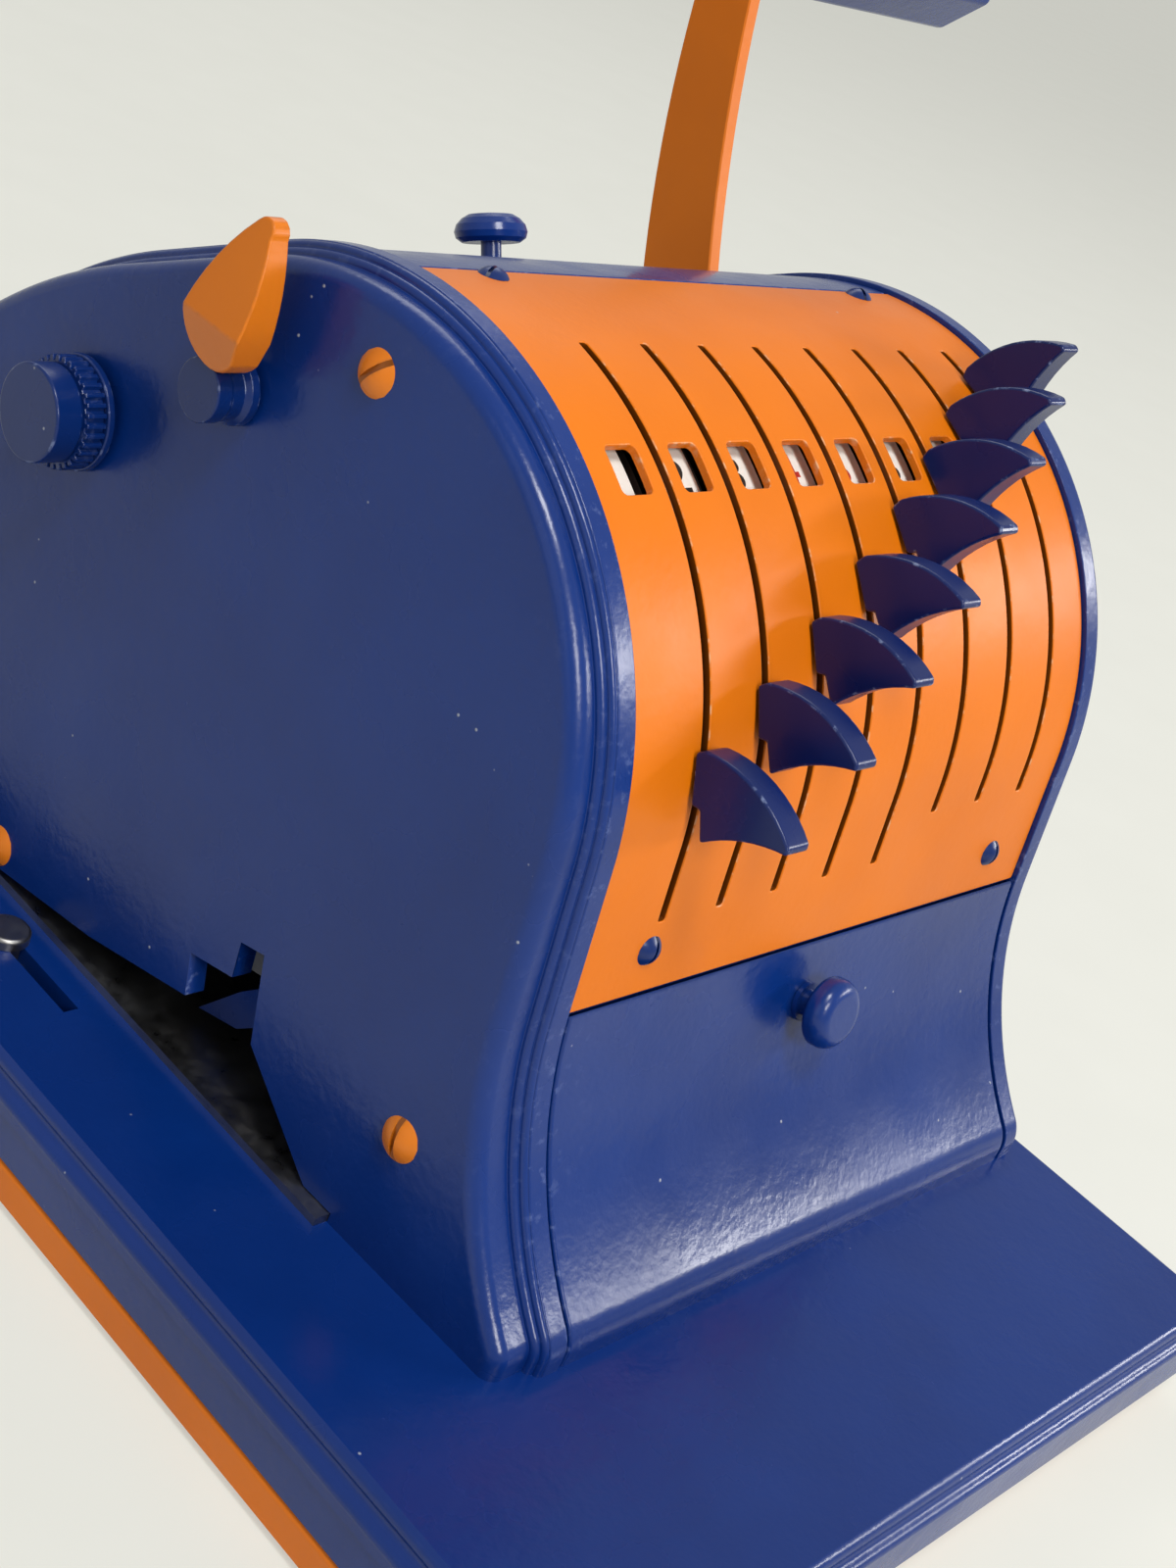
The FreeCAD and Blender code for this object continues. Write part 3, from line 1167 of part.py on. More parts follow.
def crank_link():
    y, z = PIN_YZ
    eye = cylinder_x(LINK_EYE_R, PIN_YZ, LINK_IN, LINK_OUT)
    foot = cylinder_x(LINK_FOOT_R, (y, OPEN_PIN_Z), LINK_IN, LINK_OUT)
    shank = block(LINK_IN, LINK_OUT, y - LINK_W / 2, y + LINK_W / 2, OPEN_PIN_Z, z)
    link = eye.fuse([foot, shank]).cut(cylinder_x(PIN_R + FIT, PIN_YZ, LINK_IN - 1, LINK_OUT + 1))
    side = OPEN_PIN_R + OPEN_PIN_SIDE
    lift = OPEN_PIN_R + OPEN_PIN_LIFT
    room = block(LINK_IN - 1, LINK_OUT + 1, y - side, y + side, OPEN_PIN_Z - lift, OPEN_PIN_Z + lift)
    return one_solid(link.cut(room))


def foot_room(x0, x1):
    """Room in which the foot of the link sways as the crank pin goes over its top."""
    radius = LINK_FOOT_R + GAP
    y = PIN_YZ[0]
    room = block(x0, x1, y, y + PIN_SWAY, OPEN_PIN_Z - radius, OPEN_PIN_Z + radius)
    return room.fuse([cylinder_x(radius, (place, OPEN_PIN_Z), x0, x1) for place in (y, y + PIN_SWAY)])


def platen():
    """Bar that presses the check up, on two legs and a strap with guide holes."""
    top = BED_TOP - PLATEN_DROP
    side = PLATEN_W / 2
    bar = block(-PLATEN_HALF, PLATEN_HALF, -side, side, top - PLATEN_BAR_H, top)
    low = CASTING_BOTTOM + GAP
    strap = block(-STRAP_HALF, STRAP_HALF, -STRAP_W / 2, STRAP_W / 2, low, low + STRAP_T)
    half = PLATEN_LEG_W / 2
    leg_top = top - PLATEN_BAR_H
    legs = [block(x - half, x + half, -side, side, low, leg_top)
            for x in (-PLATEN_LEG_X, PLATEN_LEG_X)]
    ear_out = PLATE_IN - 2 * GAP
    ear_in = ear_out - EAR_T
    y = PIN_YZ[0]
    arm = block(LINK_IN, ear_out, 0, y + EAR_BACK, low, low + STRAP_T)
    ear = block(ear_in, ear_out, y - EAR_FRONT, y + EAR_BACK, low, OPEN_PIN_Z + EAR_TOP)
    pin = cylinder_x(OPEN_PIN_R, (y, OPEN_PIN_Z), LINK_IN - SEAT, ear_in)
    whole = one_solid(bar.fuse([strap, arm, ear, pin] + legs))
    for x in (-GUIDE_X, GUIDE_X):
        whole = whole.cut(Part.makeCylinder(GUIDE_R + FIT, 2 * STRAP_T, Vector(x, 0, low - 1)))
    return whole.cut(foot_room(LINK_IN - GAP, LINK_OUT + SEAT).cut(pin))


# ---- all pieces ------------------------------------------------------------------------------
def main():
    os.makedirs("parts", exist_ok=True)
    pieces = {
        "base_casting": base_casting, "bottom_board": bottom_board, "desk_pad": desk_pad,
        "base_screws": base_screws, "bed_plate": bed_plate, "gauge_button": gauge_button,
        "side_screws": side_screws, "tie_rods": tie_rods, "cover_bars": cover_bars,
        "panel_top_rail": panel_top_rail, "front_panel": front_panel, "panel_screws": panel_screws,
        "lower_cover": lower_cover, "rear_cover": rear_cover, "cover_knob": cover_knob,
        "rear_thumb_screw": rear_thumb_screw, "sector_shaft": sector_shaft,
        "detent_bar": detent_bar, "detent_comb": detent_comb, "ribbon_knob": ribbon_knob,
        "ink_ribbon": ink_ribbon, "line_pointer": line_pointer, "finger_lever": finger_lever,
        "handle_arm": handle_arm, "handle_grip": handle_grip, "handle_shaft": handle_shaft,
        "handle_bushes": handle_bushes, "return_spring": return_spring, "crank_link": crank_link,
        "platen": platen,
    }
    for name, make in pieces.items():
        save(name, make())
    for name, side in (("left", -1), ("right", 1)):
        save(name + "_plate", inner_plate(side))
        save(name + "_side_frame", side_frame(side))
    save("front_spool", spool(FRONT_SPOOL, -PLATE_OUT))
    knob_inside = knob_plane(REAR_SPOOL, KNOB_FLANGE_R) - KNOB_FLANGE_T - KNURL_T
    save("rear_spool", spool(REAR_SPOOL, knob_inside))
    save_sectors()


main()
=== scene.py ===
import math

import bmesh
import bpy
from mathutils import Matrix, Vector, geometry
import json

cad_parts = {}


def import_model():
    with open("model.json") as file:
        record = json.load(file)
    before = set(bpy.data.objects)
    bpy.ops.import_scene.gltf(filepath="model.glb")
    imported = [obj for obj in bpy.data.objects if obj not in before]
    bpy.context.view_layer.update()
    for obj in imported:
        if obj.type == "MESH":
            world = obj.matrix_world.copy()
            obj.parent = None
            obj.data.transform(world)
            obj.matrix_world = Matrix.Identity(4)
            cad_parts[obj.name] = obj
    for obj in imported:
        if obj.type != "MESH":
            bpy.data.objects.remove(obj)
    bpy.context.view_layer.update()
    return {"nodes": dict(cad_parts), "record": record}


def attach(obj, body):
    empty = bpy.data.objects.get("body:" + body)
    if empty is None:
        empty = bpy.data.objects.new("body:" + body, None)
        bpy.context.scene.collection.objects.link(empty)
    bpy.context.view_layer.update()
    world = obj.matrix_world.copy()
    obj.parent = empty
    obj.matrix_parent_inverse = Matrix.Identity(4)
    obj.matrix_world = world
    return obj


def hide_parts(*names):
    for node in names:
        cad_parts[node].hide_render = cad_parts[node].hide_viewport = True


# Looks of the check writer. Sizes are in millimetres and heights are measured from the shaft of
# the number sectors, as in the part's source; `point` turns them into the row frame in metres.
# Angles on the drum are measured in degrees from the front upwards.

MM = 0.001
SHAFT_HEIGHT = 92.0        # of the sector shaft above the desk

# ---- sizes shared with the part's source ----
DRUM_R = 67.7              # outside radius of the panel over the sectors
FRONT_LEAN = 7.0           # lean of the flat below the drum, and the angle where it starts
FRONT_FLAT = 25.4
SKIRT_R = 74.0             # hollow curve of the lower front
SKIRT_END = 46.4           # its slope where the toe starts
TOE_R = 6.0
BACK_ANGLE = 118.0         # where the drum runs out into the rear slope
BACK_FLAT = 31.5
BACK_R = 119.1
BASE_TOP = -68.5
HALF_WIDTH = 64.05         # of the panel and the rear cover
SKIN = 1.4                 # thickness of both
PANEL_EDGE = 98.0          # where the panel meets the rear cover
SEAM_Z = -17.0             # seam between the panel and the lower cover
SEAM_GAP = 0.3
COVER_PROUD = 0.8          # the lower cover stands this far in front of the panel
COVER_T = 1.8
COVER_SIDE = 0.4           # and is this much narrower at each side
COVER_ROUND = 0.6          # rounding of its sides
COVER_LIP = 0.5            # rounding of its top edge

COUNT = 8
PITCH = 14.2875
DIGIT_STEP = 7.27          # one figure
SLOT_X = [-47.05 + PITCH * i for i in range(COUNT)]
SLOT_LOW = [-3.5] * 5 + [3.1] * 3
SLOT_TOP = 78.4
SLOT_HALF = 0.85
WINDOW_ANGLE = 57.5
WINDOW_SHIFT = 7.3         # from a slot to the middle of its window
WINDOW_HALF_W = 3.45
WINDOW_HALF_H = 4.1
LEVER_ANGLE = [17.7 + DIGIT_STEP * i for i in range(COUNT)]
FIN_HALF = 2.75

FRAME_IN = 64.35           # inner side of the cast side frames
RIGHT_FACE = 73.8
LEFT_FACE = 78.0           # level with the shaft
LEFT_FLARE_Y = 0.0347      # how much the left face moves outward per mm to the rear
LEFT_FLARE_Z = -0.0446     # and per mm of height
SHOULDER = 2.9             # rounding from the moulding to the outer face
SHOULDER_DROP = 1.65       # its top below the panel's surface
SHOULDER_OUT = 6.25        # its start beyond the inner side of the frame
WALL = 4.0

FIGURE_R = 64.0            # outside of the number strips
INK_T = 0.04               # the figures stand this far off them


# ---- frame ----
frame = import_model()


def point(x, y, z):
    """Place in the row frame, in metres."""
    return Vector((x * MM, y * MM, (z + SHAFT_HEIGHT) * MM))


def out(angle):
    """Outward direction at an angle of the drum."""
    a = math.radians(angle)
    return Vector((0, -math.cos(a), math.sin(a)))


def along(angle):
    """Direction along the outline at that angle, towards the rear."""
    a = math.radians(angle)
    return Vector((0, math.sin(a), math.cos(a)))


# ---- side outline of the body, by distance along it ----
class Outline:
    """Runs of the side outline from the front foot over the drum to the rear foot."""

    TIGHT_R = 10.0         # arcs below this radius get three times as many stations

    def __init__(self):
        flat_top = out(FRONT_LEAN) * DRUM_R
        flat_end = flat_top - along(FRONT_LEAN) * FRONT_FLAT
        skirt = flat_end + out(FRONT_LEAN) * SKIRT_R
        toe_top = skirt - out(SKIRT_END) * SKIRT_R
        toe = toe_top - out(SKIRT_END) * TOE_R
        toe_end = toe + out(0) * TOE_R
        slope_top = out(BACK_ANGLE) * DRUM_R
        slope_end = slope_top + along(BACK_ANGLE) * BACK_FLAT
        back = slope_end - out(BACK_ANGLE) * BACK_R
        back_end = back + out(180) * BACK_R
        self.runs = [
            ("line", toe_end.z - BASE_TOP, Vector((0, toe_end.y, BASE_TOP)), 0.0),
            ("arc", TOE_R, toe, 0.0, SKIRT_END),
            ("arc", -SKIRT_R, skirt, SKIRT_END, FRONT_LEAN),
            ("line", FRONT_FLAT, flat_end, FRONT_LEAN),
            ("arc", DRUM_R, Vector((0, 0, 0)), FRONT_LEAN, BACK_ANGLE),
            ("line", BACK_FLAT, slope_top, BACK_ANGLE),
            ("arc", BACK_R, back, BACK_ANGLE, 180.0),
            ("line", back_end.z - BASE_TOP, back_end, 180.0),
        ]
        self.starts = [0.0]
        for run in self.runs:
            self.starts.append(self.starts[-1] + self.length(run))
        self.drum, self.total = self.starts[4], self.starts[-1]

    @staticmethod
    def length(run):
        """Length of a ("line", length, start, angle) or ("arc", radius, centre, angles) run."""
        if run[0] == "line":
            return run[1]
        return abs(run[1] * math.radians(run[4] - run[3]))

    def at(self, s, grow=0.0):
        """Place and angle of the outward normal at a distance, grown outwards."""
        k = 0
        while k < len(self.runs) - 1 and s > self.starts[k + 1]:
            k += 1
        run, part = self.runs[k], s - self.starts[k]
        if run[0] == "line":
            angle = run[3]
            place = run[2] + along(angle) * part
        else:
            share = part / self.length(run)
            angle = run[3] + (run[4] - run[3]) * share
            place = run[2] + out(angle) * run[1]
        return place + out(angle) * grow, angle

    def on_drum(self, angle):
        """Distance of an angle on the drum."""
        return self.drum + DRUM_R * math.radians(angle - FRONT_LEAN)

    def at_ray(self, angle):
        """Distance where a ray from the shaft meets the drum or the flat below it."""
        if angle >= FRONT_LEAN:
            return self.on_drum(angle)
        return self.drum - DRUM_R * math.tan(math.radians(FRONT_LEAN - angle))

    def at_height(self, z):
        """Distance on the front flat at a height."""
        top = (out(FRONT_LEAN) * DRUM_R).z
        return self.drum - (top - z) / math.cos(math.radians(FRONT_LEAN))

    def stations(self, s0, s1, step=1.4):
        """Distances between two ends, closer where the outline bends tightly."""
        marks = [s0] + [s for s in self.starts if s0 < s < s1] + [s1]
        found = []
        for a, b in zip(marks, marks[1:]):
            k = max(i for i, s in enumerate(self.starts[:-1]) if s <= (a + b) / 2)
            tight = self.runs[k][0] == "arc" and abs(self.runs[k][1]) < self.TIGHT_R
            count = max(1, math.ceil((b - a) / (step / 3 if tight else step)))
            found += [a + (b - a) * i / count for i in range(count)]
        return found + [s1]


BODY = Outline()


# ---- meshes with their own normals ----
MERGE = 1e-5               # flat places closer than this are one
LOOP_STEP = 1.5            # between the places on the straight sides of a hole or an edge
CORNER_STEPS = 4           # of a rounded corner


class Shell:
    """Vertices with normals and a value each, worn paint above zero and painted shade below, and
    faces wound to agree with the normals.
    """

    def __init__(self):
        self.places, self.normals, self.wear, self.faces = [], [], [], []

    def vertex(self, place, normal, wear=0.0):
        self.places.append(Vector(place))
        self.normals.append(Vector(normal).normalized())
        self.wear.append(wear)
        return len(self.places) - 1

    def face(self, ids):
        """Face of vertices, turned so that it faces the way of their normals."""
        ids = [v for i, v in enumerate(ids) if v != ids[i - 1]]
        if len(ids) < 3:
            return
        turn = Vector((0, 0, 0))
        for i, v in enumerate(ids):
            turn += self.places[ids[i - 1]].cross(self.places[v])
        facing = sum((self.normals[v] for v in ids), Vector((0, 0, 0)))
        self.faces.append(ids if turn.dot(facing) >= 0 else ids[::-1])

    def strip(self, a, b, closed=False):
        """Quads between two rows of vertices."""
        count = len(a)
        for i in range(count if closed else count - 1):
            j = (i + 1) % count
            self.face([a[i], a[j], b[j], b[i]])

    def fill(self, loops, lift, inner=()):
        """Fill between loops of (flat place, vertex) pairs; lift makes a vertex of a flat place."""
        flat, ids, edges = [], [], []
        for loop in loops:
            start = len(flat)
            for place, vertex in loop:
                flat.append(Vector(place))
                ids.append(vertex)
            count = len(loop)
            edges += [(start + i, start + (i + 1) % count) for i in range(count)]
        for place in inner:
            flat.append(Vector(place))
            ids.append(None)
        made = geometry.delaunay_2d_cdt(flat, edges, [], 0, MERGE)
        found = []
        for place, sources in zip(made[0], made[3]):
            known = [ids[s] for s in sources if ids[s] is not None]
            found.append(known[0] if known else lift(place))
        for triangle in made[2]:
            middle = sum((made[0][i] for i in triangle), Vector((0, 0))) / 3
            if inside(middle, [[p for p, _ in loop] for loop in loops]):
                self.face([found[i] for i in triangle])

    def build(self, name, body, paint, slot, replaces=()):
        mesh = bpy.data.meshes.new(name)
        mesh.from_pydata([point(*p) for p in self.places], [], self.faces)
        add_piece(name, mesh, self.normals, self.wear, paint, body, slot, replaces)


def add_object(name, data):
    item = bpy.data.objects.new(name, data)
    bpy.context.scene.collection.objects.link(item)
    return item


def add_piece(name, mesh, normals, wear, paint, body, slot, replaces):
    """Shade a mesh by its normals and its values of worn paint and painted shade, and add it riding
    on a body in place of CAD nodes.
    """
    mesh.polygons.foreach_set("use_smooth", [True] * len(mesh.polygons))
    attribute = mesh.attributes.new("wear", "FLOAT", "POINT")
    attribute.data.foreach_set("value", wear)
    mesh.normals_split_custom_set_from_vertices(normals)
    mesh.materials.append(paint)
    piece = add_object(name, mesh)
    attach(piece, body)
    if replaces:
        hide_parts(*replaces)


def inside(place, loops):
    """Even-odd test of a flat place against loops."""
    x, y = place
    odd = False
    for loop in loops:
        for a, b in zip(loop, loop[1:] + loop[:1]):
            if (a[1] > y) != (b[1] > y) and x < a[0] + (y - a[1]) * (b[0] - a[0]) / (b[1] - a[1]):
                odd = not odd
    return odd


def spread(a, b, step):
    """Even values from a towards b, without b, at most a step apart."""
    count = max(1, math.ceil(abs(b - a) / step))
    return [a + (b - a) * i / count for i in range(count)]


def rounded_box(u0, u1, v0, v1, radius):
    """Function of an inset that gives the loop of a rounded rectangle, with its outward normals."""
    corners = [(u1 - radius, v0 + radius, -90), (u1 - radius, v1 - radius, 0),
               (u0 + radius, v1 - radius, 90), (u0 + radius, v0 + radius, 180)]

    def loop(inset):
        found = []
        r = radius - inset
        for k, (cu, cv, start) in enumerate(corners):
            for i in range(CORNER_STEPS + 1):
                a = math.radians(start + 90 / CORNER_STEPS * i)
                way = (math.cos(a), math.sin(a))
                found.append(((cu + r * way[0], cv + r * way[1]), way))
            nu, nv, _ = corners[(k + 1) % 4]
            a = math.radians(start + 90)
            way = (math.cos(a), math.sin(a))
            side = math.hypot(nu - cu, nv - cv)
            for d in spread(0, side, LOOP_STEP)[1:]:
                share = d / side
                u = cu + (nu - cu) * share + r * way[0]
                v = cv + (nv - cv) * share + r * way[1]
                found.append(((u, v), way))
        return found
    return loop


SKIN_EDGE = 0.3            # rounding of the outer edges of a sheet
# rows of a rounded edge as shares of its radius (inset, depth), then (sideways lean, wear)
EDGE_ROWS = ((1.0, 0.0, 0.0, 0.0), (0.62, 0.08, 0.38, 0.6), (0.29, 0.29, 0.71, 1.0),
             (0.08, 0.62, 0.92, 1.0), (0.0, 1.0, 1.0, 0.7))
SHADE_LIP = -0.8            # a cut whose wall gets painted shade: the paint darkens at its lip and more on the wall below
SHADE_WALL = -1.0


def sheet(shell, outer, holes, inner, hole_edge=SKIN_EDGE, chipped=1.0, shaded_holes=()):
    """Sheet that follows the body, with rounded edges; holes numbered in the last argument get
    painted shade inside.
    """
    def rings(loop_at, sign, r, dark=False):
        levels = [(r * a, r * b, lean, wear * chipped) for a, b, lean, wear in EDGE_ROWS]
        levels.append((0.0, SKIN, 1.0, 0.0))
        # a shaded hole: its lip and wall are darkened, painted shade inside the cut
        if dark:
            levels[4:] = [(0.0, r, 1.0, SHADE_LIP), (0.0, SKIN, 1.0, SHADE_WALL)]
        rows = []
        for inset, depth, sideways, wear in levels:
            row = []
            for (u, v), (nu, nv) in loop_at(sign * inset):
                spot, du, dv, normal = skin_place(u, v, depth)
                side = (du * nu + dv * nv) * sign
                up = math.sqrt(1 - sideways ** 2)
                row.append(shell.vertex(spot, normal * up + side * sideways, wear))
            rows.append(row)
        for a, b in zip(rows, rows[1:]):
            shell.strip(a, b, closed=True)
        flat = [uv for uv, _ in loop_at(sign * r)]
        bottom = [uv for uv, _ in loop_at(0.0)]
        return list(zip(flat, rows[0])), bottom

    def flat(depth, sign):
        def lift(uv):
            spot, _, _, normal = skin_place(uv[0], uv[1], depth)
            return shell.vertex(spot, normal * sign)
        return lift

    front, back = flat(0.0, 1), flat(SKIN, -1)
    made = [rings(outer, 1, SKIN_EDGE)]
    made += [rings(hole, -1, hole_edge, k in shaded_holes) for k, hole in enumerate(holes)]
    shell.fill([top for top, _ in made], front, inner)
    shell.fill([[(uv, back(uv)) for uv in bottom] for _, bottom in made], back, inner)


def skin_place(u, v, depth):
    """Place, axes and normal on the body: u across, v along the outline, at a depth below it."""
    spot, angle = BODY.at(v, -depth)
    return Vector((u, spot.y, spot.z)), Vector((1, 0, 0)), along(angle), out(angle)


CORNER_WEAR = 0.9          # on the rounded corners of turned pieces


def smooth_profile(points, radius):
    """Rows of (radius, height, radial normal, axial normal, wear) from (radius, height) corners."""
    rows = []
    corners = [Vector(p) for p in points]
    for k, p in enumerate(corners):
        before = (p - corners[k - 1]).normalized() if k else None
        after = (corners[k + 1] - p).normalized() if k + 1 < len(corners) else None
        if before is None or after is None:
            d = after if before is None else before
            rows.append((p.x, p.y, d.y, -d.x, 0.0))
            continue
        room = min((p - corners[k - 1]).length, (corners[k + 1] - p).length) * 0.45
        turn = before.angle(after)
        cut = min(radius * math.tan(turn / 2), room)
        for share in (0.0, 0.25, 0.5, 0.75, 1.0):
            q = p - before * cut * (1 - share) ** 2 + after * cut * share ** 2
            d = (before * (1 - share) + after * share).normalized()
            rows.append((q.x, q.y, d.y, -d.x, CORNER_WEAR if 0 < share < 1 else 0.0))
    return rows


def round_axis(shell, place, axis, profile, count, rounding):
    """Piece turned about an axis from (radius, height) corners, each corner rounded."""
    turn = Vector((0, 0, 1)).rotation_difference(Vector(axis)).to_matrix()
    rows = []
    for radius, height, nr, nh, wear in smooth_profile(profile, rounding):
        row = []
        for i in range(count):
            a = math.tau * i / count
            ray = Vector((math.cos(a), math.sin(a), 0))
            spot = Vector(place) + turn @ (ray * radius + Vector((0, 0, height)))
            row.append(shell.vertex(spot, turn @ (ray * nr + Vector((0, 0, nh))), wear))
        rows.append(row)
    for a, b in zip(rows, rows[1:]):
        shell.strip(a, b, closed=True)


TOOTH_ROUND = 0.12         # of the corners of a tooth
TOOTH_END = 0.25           # and of the ends of the ring


def toothed(shell, place, axis, low, high, teeth, h0, h1):
    """Ring of square teeth about an axis, between two heights along it."""
    turn = Vector((0, 0, 1)).rotation_difference(Vector(axis)).to_matrix()
    foot, crest = low + TOOTH_ROUND, high - TOOTH_ROUND
    # one tooth as (share of its pitch, radius, sideways and outward lean of the normal)
    shape = [(0.0, low, 0, 1), (0.42, low, 0, 1), (0.46, foot, -0.7, 0.7), (0.50, crest, -0.9, 0.4),
             (0.54, high, -0.3, 0.95), (0.72, high, 0, 1), (0.90, high, 0.3, 0.95),
             (0.94, crest, 0.9, 0.4), (0.98, foot, 0.7, 0.7)]
    levels = ((h0, TOOTH_END, -0.7), (h0 + TOOTH_END, 0.0, 0.0),
              (h1 - TOOTH_END, 0.0, 0.0), (h1, TOOTH_END, 0.7))
    rows = []
    for height, inset, tilt in levels:
        row = []
        for tooth in range(teeth):
            for share, radius, sideways, outward in shape:
                a = math.tau * (tooth + share) / teeth
                ray = Vector((math.cos(a), math.sin(a), 0))
                side = Vector((-math.sin(a), math.cos(a), 0))
                spot = Vector(place) + turn @ (ray * (radius - inset) + Vector((0, 0, height)))
                normal = turn @ (ray * outward + side * sideways + Vector((0, 0, tilt)))
                row.append(shell.vertex(spot, normal, 0.8 if radius == high and tilt else 0.2))
        rows.append(row)
    for a, b in zip(rows, rows[1:]):
        shell.strip(a, b, closed=True)
    for row, sign in ((rows[0], -1), (rows[-1], 1)):
        flat = turn @ Vector((0, 0, sign))
        rim = [shell.vertex(shell.places[v], flat, 0.3) for v in row]
        middle = shell.vertex(Vector(place) + flat * (-h0 if sign < 0 else h1), flat)
        for i, v in enumerate(rim):
            shell.face([v, rim[(i + 1) % len(rim)], middle])


def arc_points(p, q, r, count):
    """Flat places on the arc through three places, the ends included."""
    (ax, ay), (bx, by), (cx, cy) = p, q, r
    aa, bb, cc = ax ** 2 + ay ** 2, bx ** 2 + by ** 2, cx ** 2 + cy ** 2
    d = 2 * (ax * (by - cy) + bx * (cy - ay) + cx * (ay - by))
    ux = (aa * (by - cy) + bb * (cy - ay) + cc * (ay - by)) / d
    uy = (aa * (cx - bx) + bb * (ax - cx) + cc * (bx - ax)) / d
    start = math.atan2(ay - uy, ax - ux)
    sweep = (math.atan2(cy - uy, cx - ux) - start) % math.tau
    through = (math.atan2(by - uy, bx - ux) - start) % math.tau
    if through > sweep:
        sweep -= math.tau
    radius = math.hypot(ax - ux, ay - uy)
    turns = [start + sweep * i / count for i in range(count + 1)]
    return [(ux + radius * math.cos(a), uy + radius * math.sin(a)) for a in turns]


SHARP = 22.0               # edges that bend more than this are rounded
EDGE_SEGMENTS = 3


def edged_solid(name, places, faces, edge, paint, body, slot, replaces=(), rub=1.0):
    """Solid of flat faces with rounded, worn edges where they meet at more than SHARP."""
    work = bmesh.new()
    corners = [work.verts.new(point(*p)) for p in places]
    for face in faces:
        work.faces.new([corners[i] for i in face])
    bmesh.ops.recalc_face_normals(work, faces=work.faces)
    edges = [e for e in work.edges if e.calc_face_angle(0.0) > math.radians(SHARP)]
    made = bmesh.ops.bevel(work, geom=edges, offset=edge * MM, offset_type="OFFSET",
                           segments=EDGE_SEGMENTS, profile=0.5, affect="EDGES", clamp_overlap=True)
    rounded = set(made["faces"])
    work.verts.index_update()
    normals, wear = [], []
    for vertex in work.verts:
        flat = [f for f in vertex.link_faces if f not in rounded]
        chosen = flat or vertex.link_faces
        facing = sum((f.normal * f.calc_area() for f in chosen), Vector((0, 0, 0)))
        normals.append(facing.normalized())
        wear.append(0.0 if flat else rub)
    mesh = bpy.data.meshes.new(name)
    work.to_mesh(mesh)
    work.free()
    add_piece(name, mesh, normals, wear, paint, body, slot, replaces)


def walls(count):
    """Faces between two loops that follow each other in a list of places."""
    return [[i, (i + 1) % count, count + (i + 1) % count, count + i] for i in range(count)]


def edged_slab(name, loop, x0, x1, edge, paint, body, slot, replaces, place, rub=1.0):
    """Slab between two x of a loop of flat places; place(x, u, v) says where a corner lies."""
    count = len(loop)
    places = [place(x0, *p) for p in loop] + [place(x1, *p) for p in loop]
    faces = [list(range(count)), list(range(2 * count - 1, count - 1, -1))] + walls(count)
    edged_solid(name, places, faces, edge, paint, body, slot, replaces, rub)


# ---- materials ----
MIX_SHARE, MIX_A, MIX_B, MIX_RESULT = 0, 6, 7, 2   # colour sockets of the Mix node


class Nodes:
    """Short way to write the node tree of a material or a world."""

    def __init__(self, owner):
        self.owner = owner
        owner.use_nodes = True
        self.tree = owner.node_tree

    def space(self):
        """Coordinates of the object, in metres."""
        return self.add("ShaderNodeTexCoord").outputs["Object"]

    def add(self, kind, inputs=None, **settings):
        node = self.tree.nodes.new(kind)
        for key, value in settings.items():
            setattr(node, key, value)
        for key, value in (inputs or {}).items():
            self.set(node.inputs[key], value)
        return node

    def set(self, socket, value):
        if isinstance(value, bpy.types.NodeSocket):
            self.tree.links.new(value, socket)
        else:
            socket.default_value = value

    def noise(self, scale, detail=2.0, rough=0.5, stretch=None):
        space = self.space()
        if stretch:
            space = self.add("ShaderNodeMapping", {"Vector": space, "Scale": stretch}).outputs[0]
        inputs = {"Vector": space, "Scale": scale, "Detail": detail, "Roughness": rough}
        return self.add("ShaderNodeTexNoise", inputs).outputs[0]

    def math(self, operation, a, b=0.0, clamp=False):
        node = self.add("ShaderNodeMath", {0: a, 1: b}, operation=operation, use_clamp=clamp)
        return node.outputs[0]

    def span(self, value, low, high, to_low=0.0, to_high=1.0):
        inputs = {"Value": value, "From Min": low, "From Max": high,
                  "To Min": to_low, "To Max": to_high}
        return self.add("ShaderNodeMapRange", inputs).outputs[0]

    def mix(self, share, a, b):
        node = self.add("ShaderNodeMix", data_type="RGBA")
        self.set(node.inputs[MIX_SHARE], share)
        self.set(node.inputs[MIX_A], a)
        self.set(node.inputs[MIX_B], b)
        return node.outputs[MIX_RESULT]

    def bump(self, height, strength, distance, normal=None):
        inputs = {"Height": height, "Strength": strength, "Distance": distance}
        if normal is not None:
            inputs["Normal"] = normal
        return self.add("ShaderNodeBump", inputs).outputs[0]

    def seen(self):
        """1 for camera, glossy and transmission rays, 0 for the rest."""
        path = self.add("ShaderNodeLightPath").outputs
        either = self.math("MAXIMUM", path["Is Camera Ray"], path["Is Glossy Ray"])
        return self.math("MAXIMUM", either, path["Is Transmission Ray"])

    def finish(self, **inputs):
        """Set inputs of the material's shader and give the material."""
        shader = self.tree.nodes["Principled BSDF"]
        for key, value in inputs.items():
            self.set(shader.inputs[key.replace("_", " ")], value)
        return self.owner


def new_material(name):
    return Nodes(bpy.data.materials.new(name))


def rgb(r, g, b):
    return (r, g, b, 1.0)


ENAMEL_IOR = 1.45
DUST = (0.55, 0.57, 0.60)
DUST_SCALE = 210.0         # cells per metre that may hold a speck
DUST_CHANCE = 0.10
GROUND_SCALE = 95.0        # of the uneven casting below the paint
PEEL_SCALE = 620.0         # of the orange peel
CHIP_SCALE = 420.0
# painted shade: a cut's wall darkens to this share of the paint's deeper colour
RECESS_SHADE = 0.10         # share of the paint's colour that is left in a dark cut


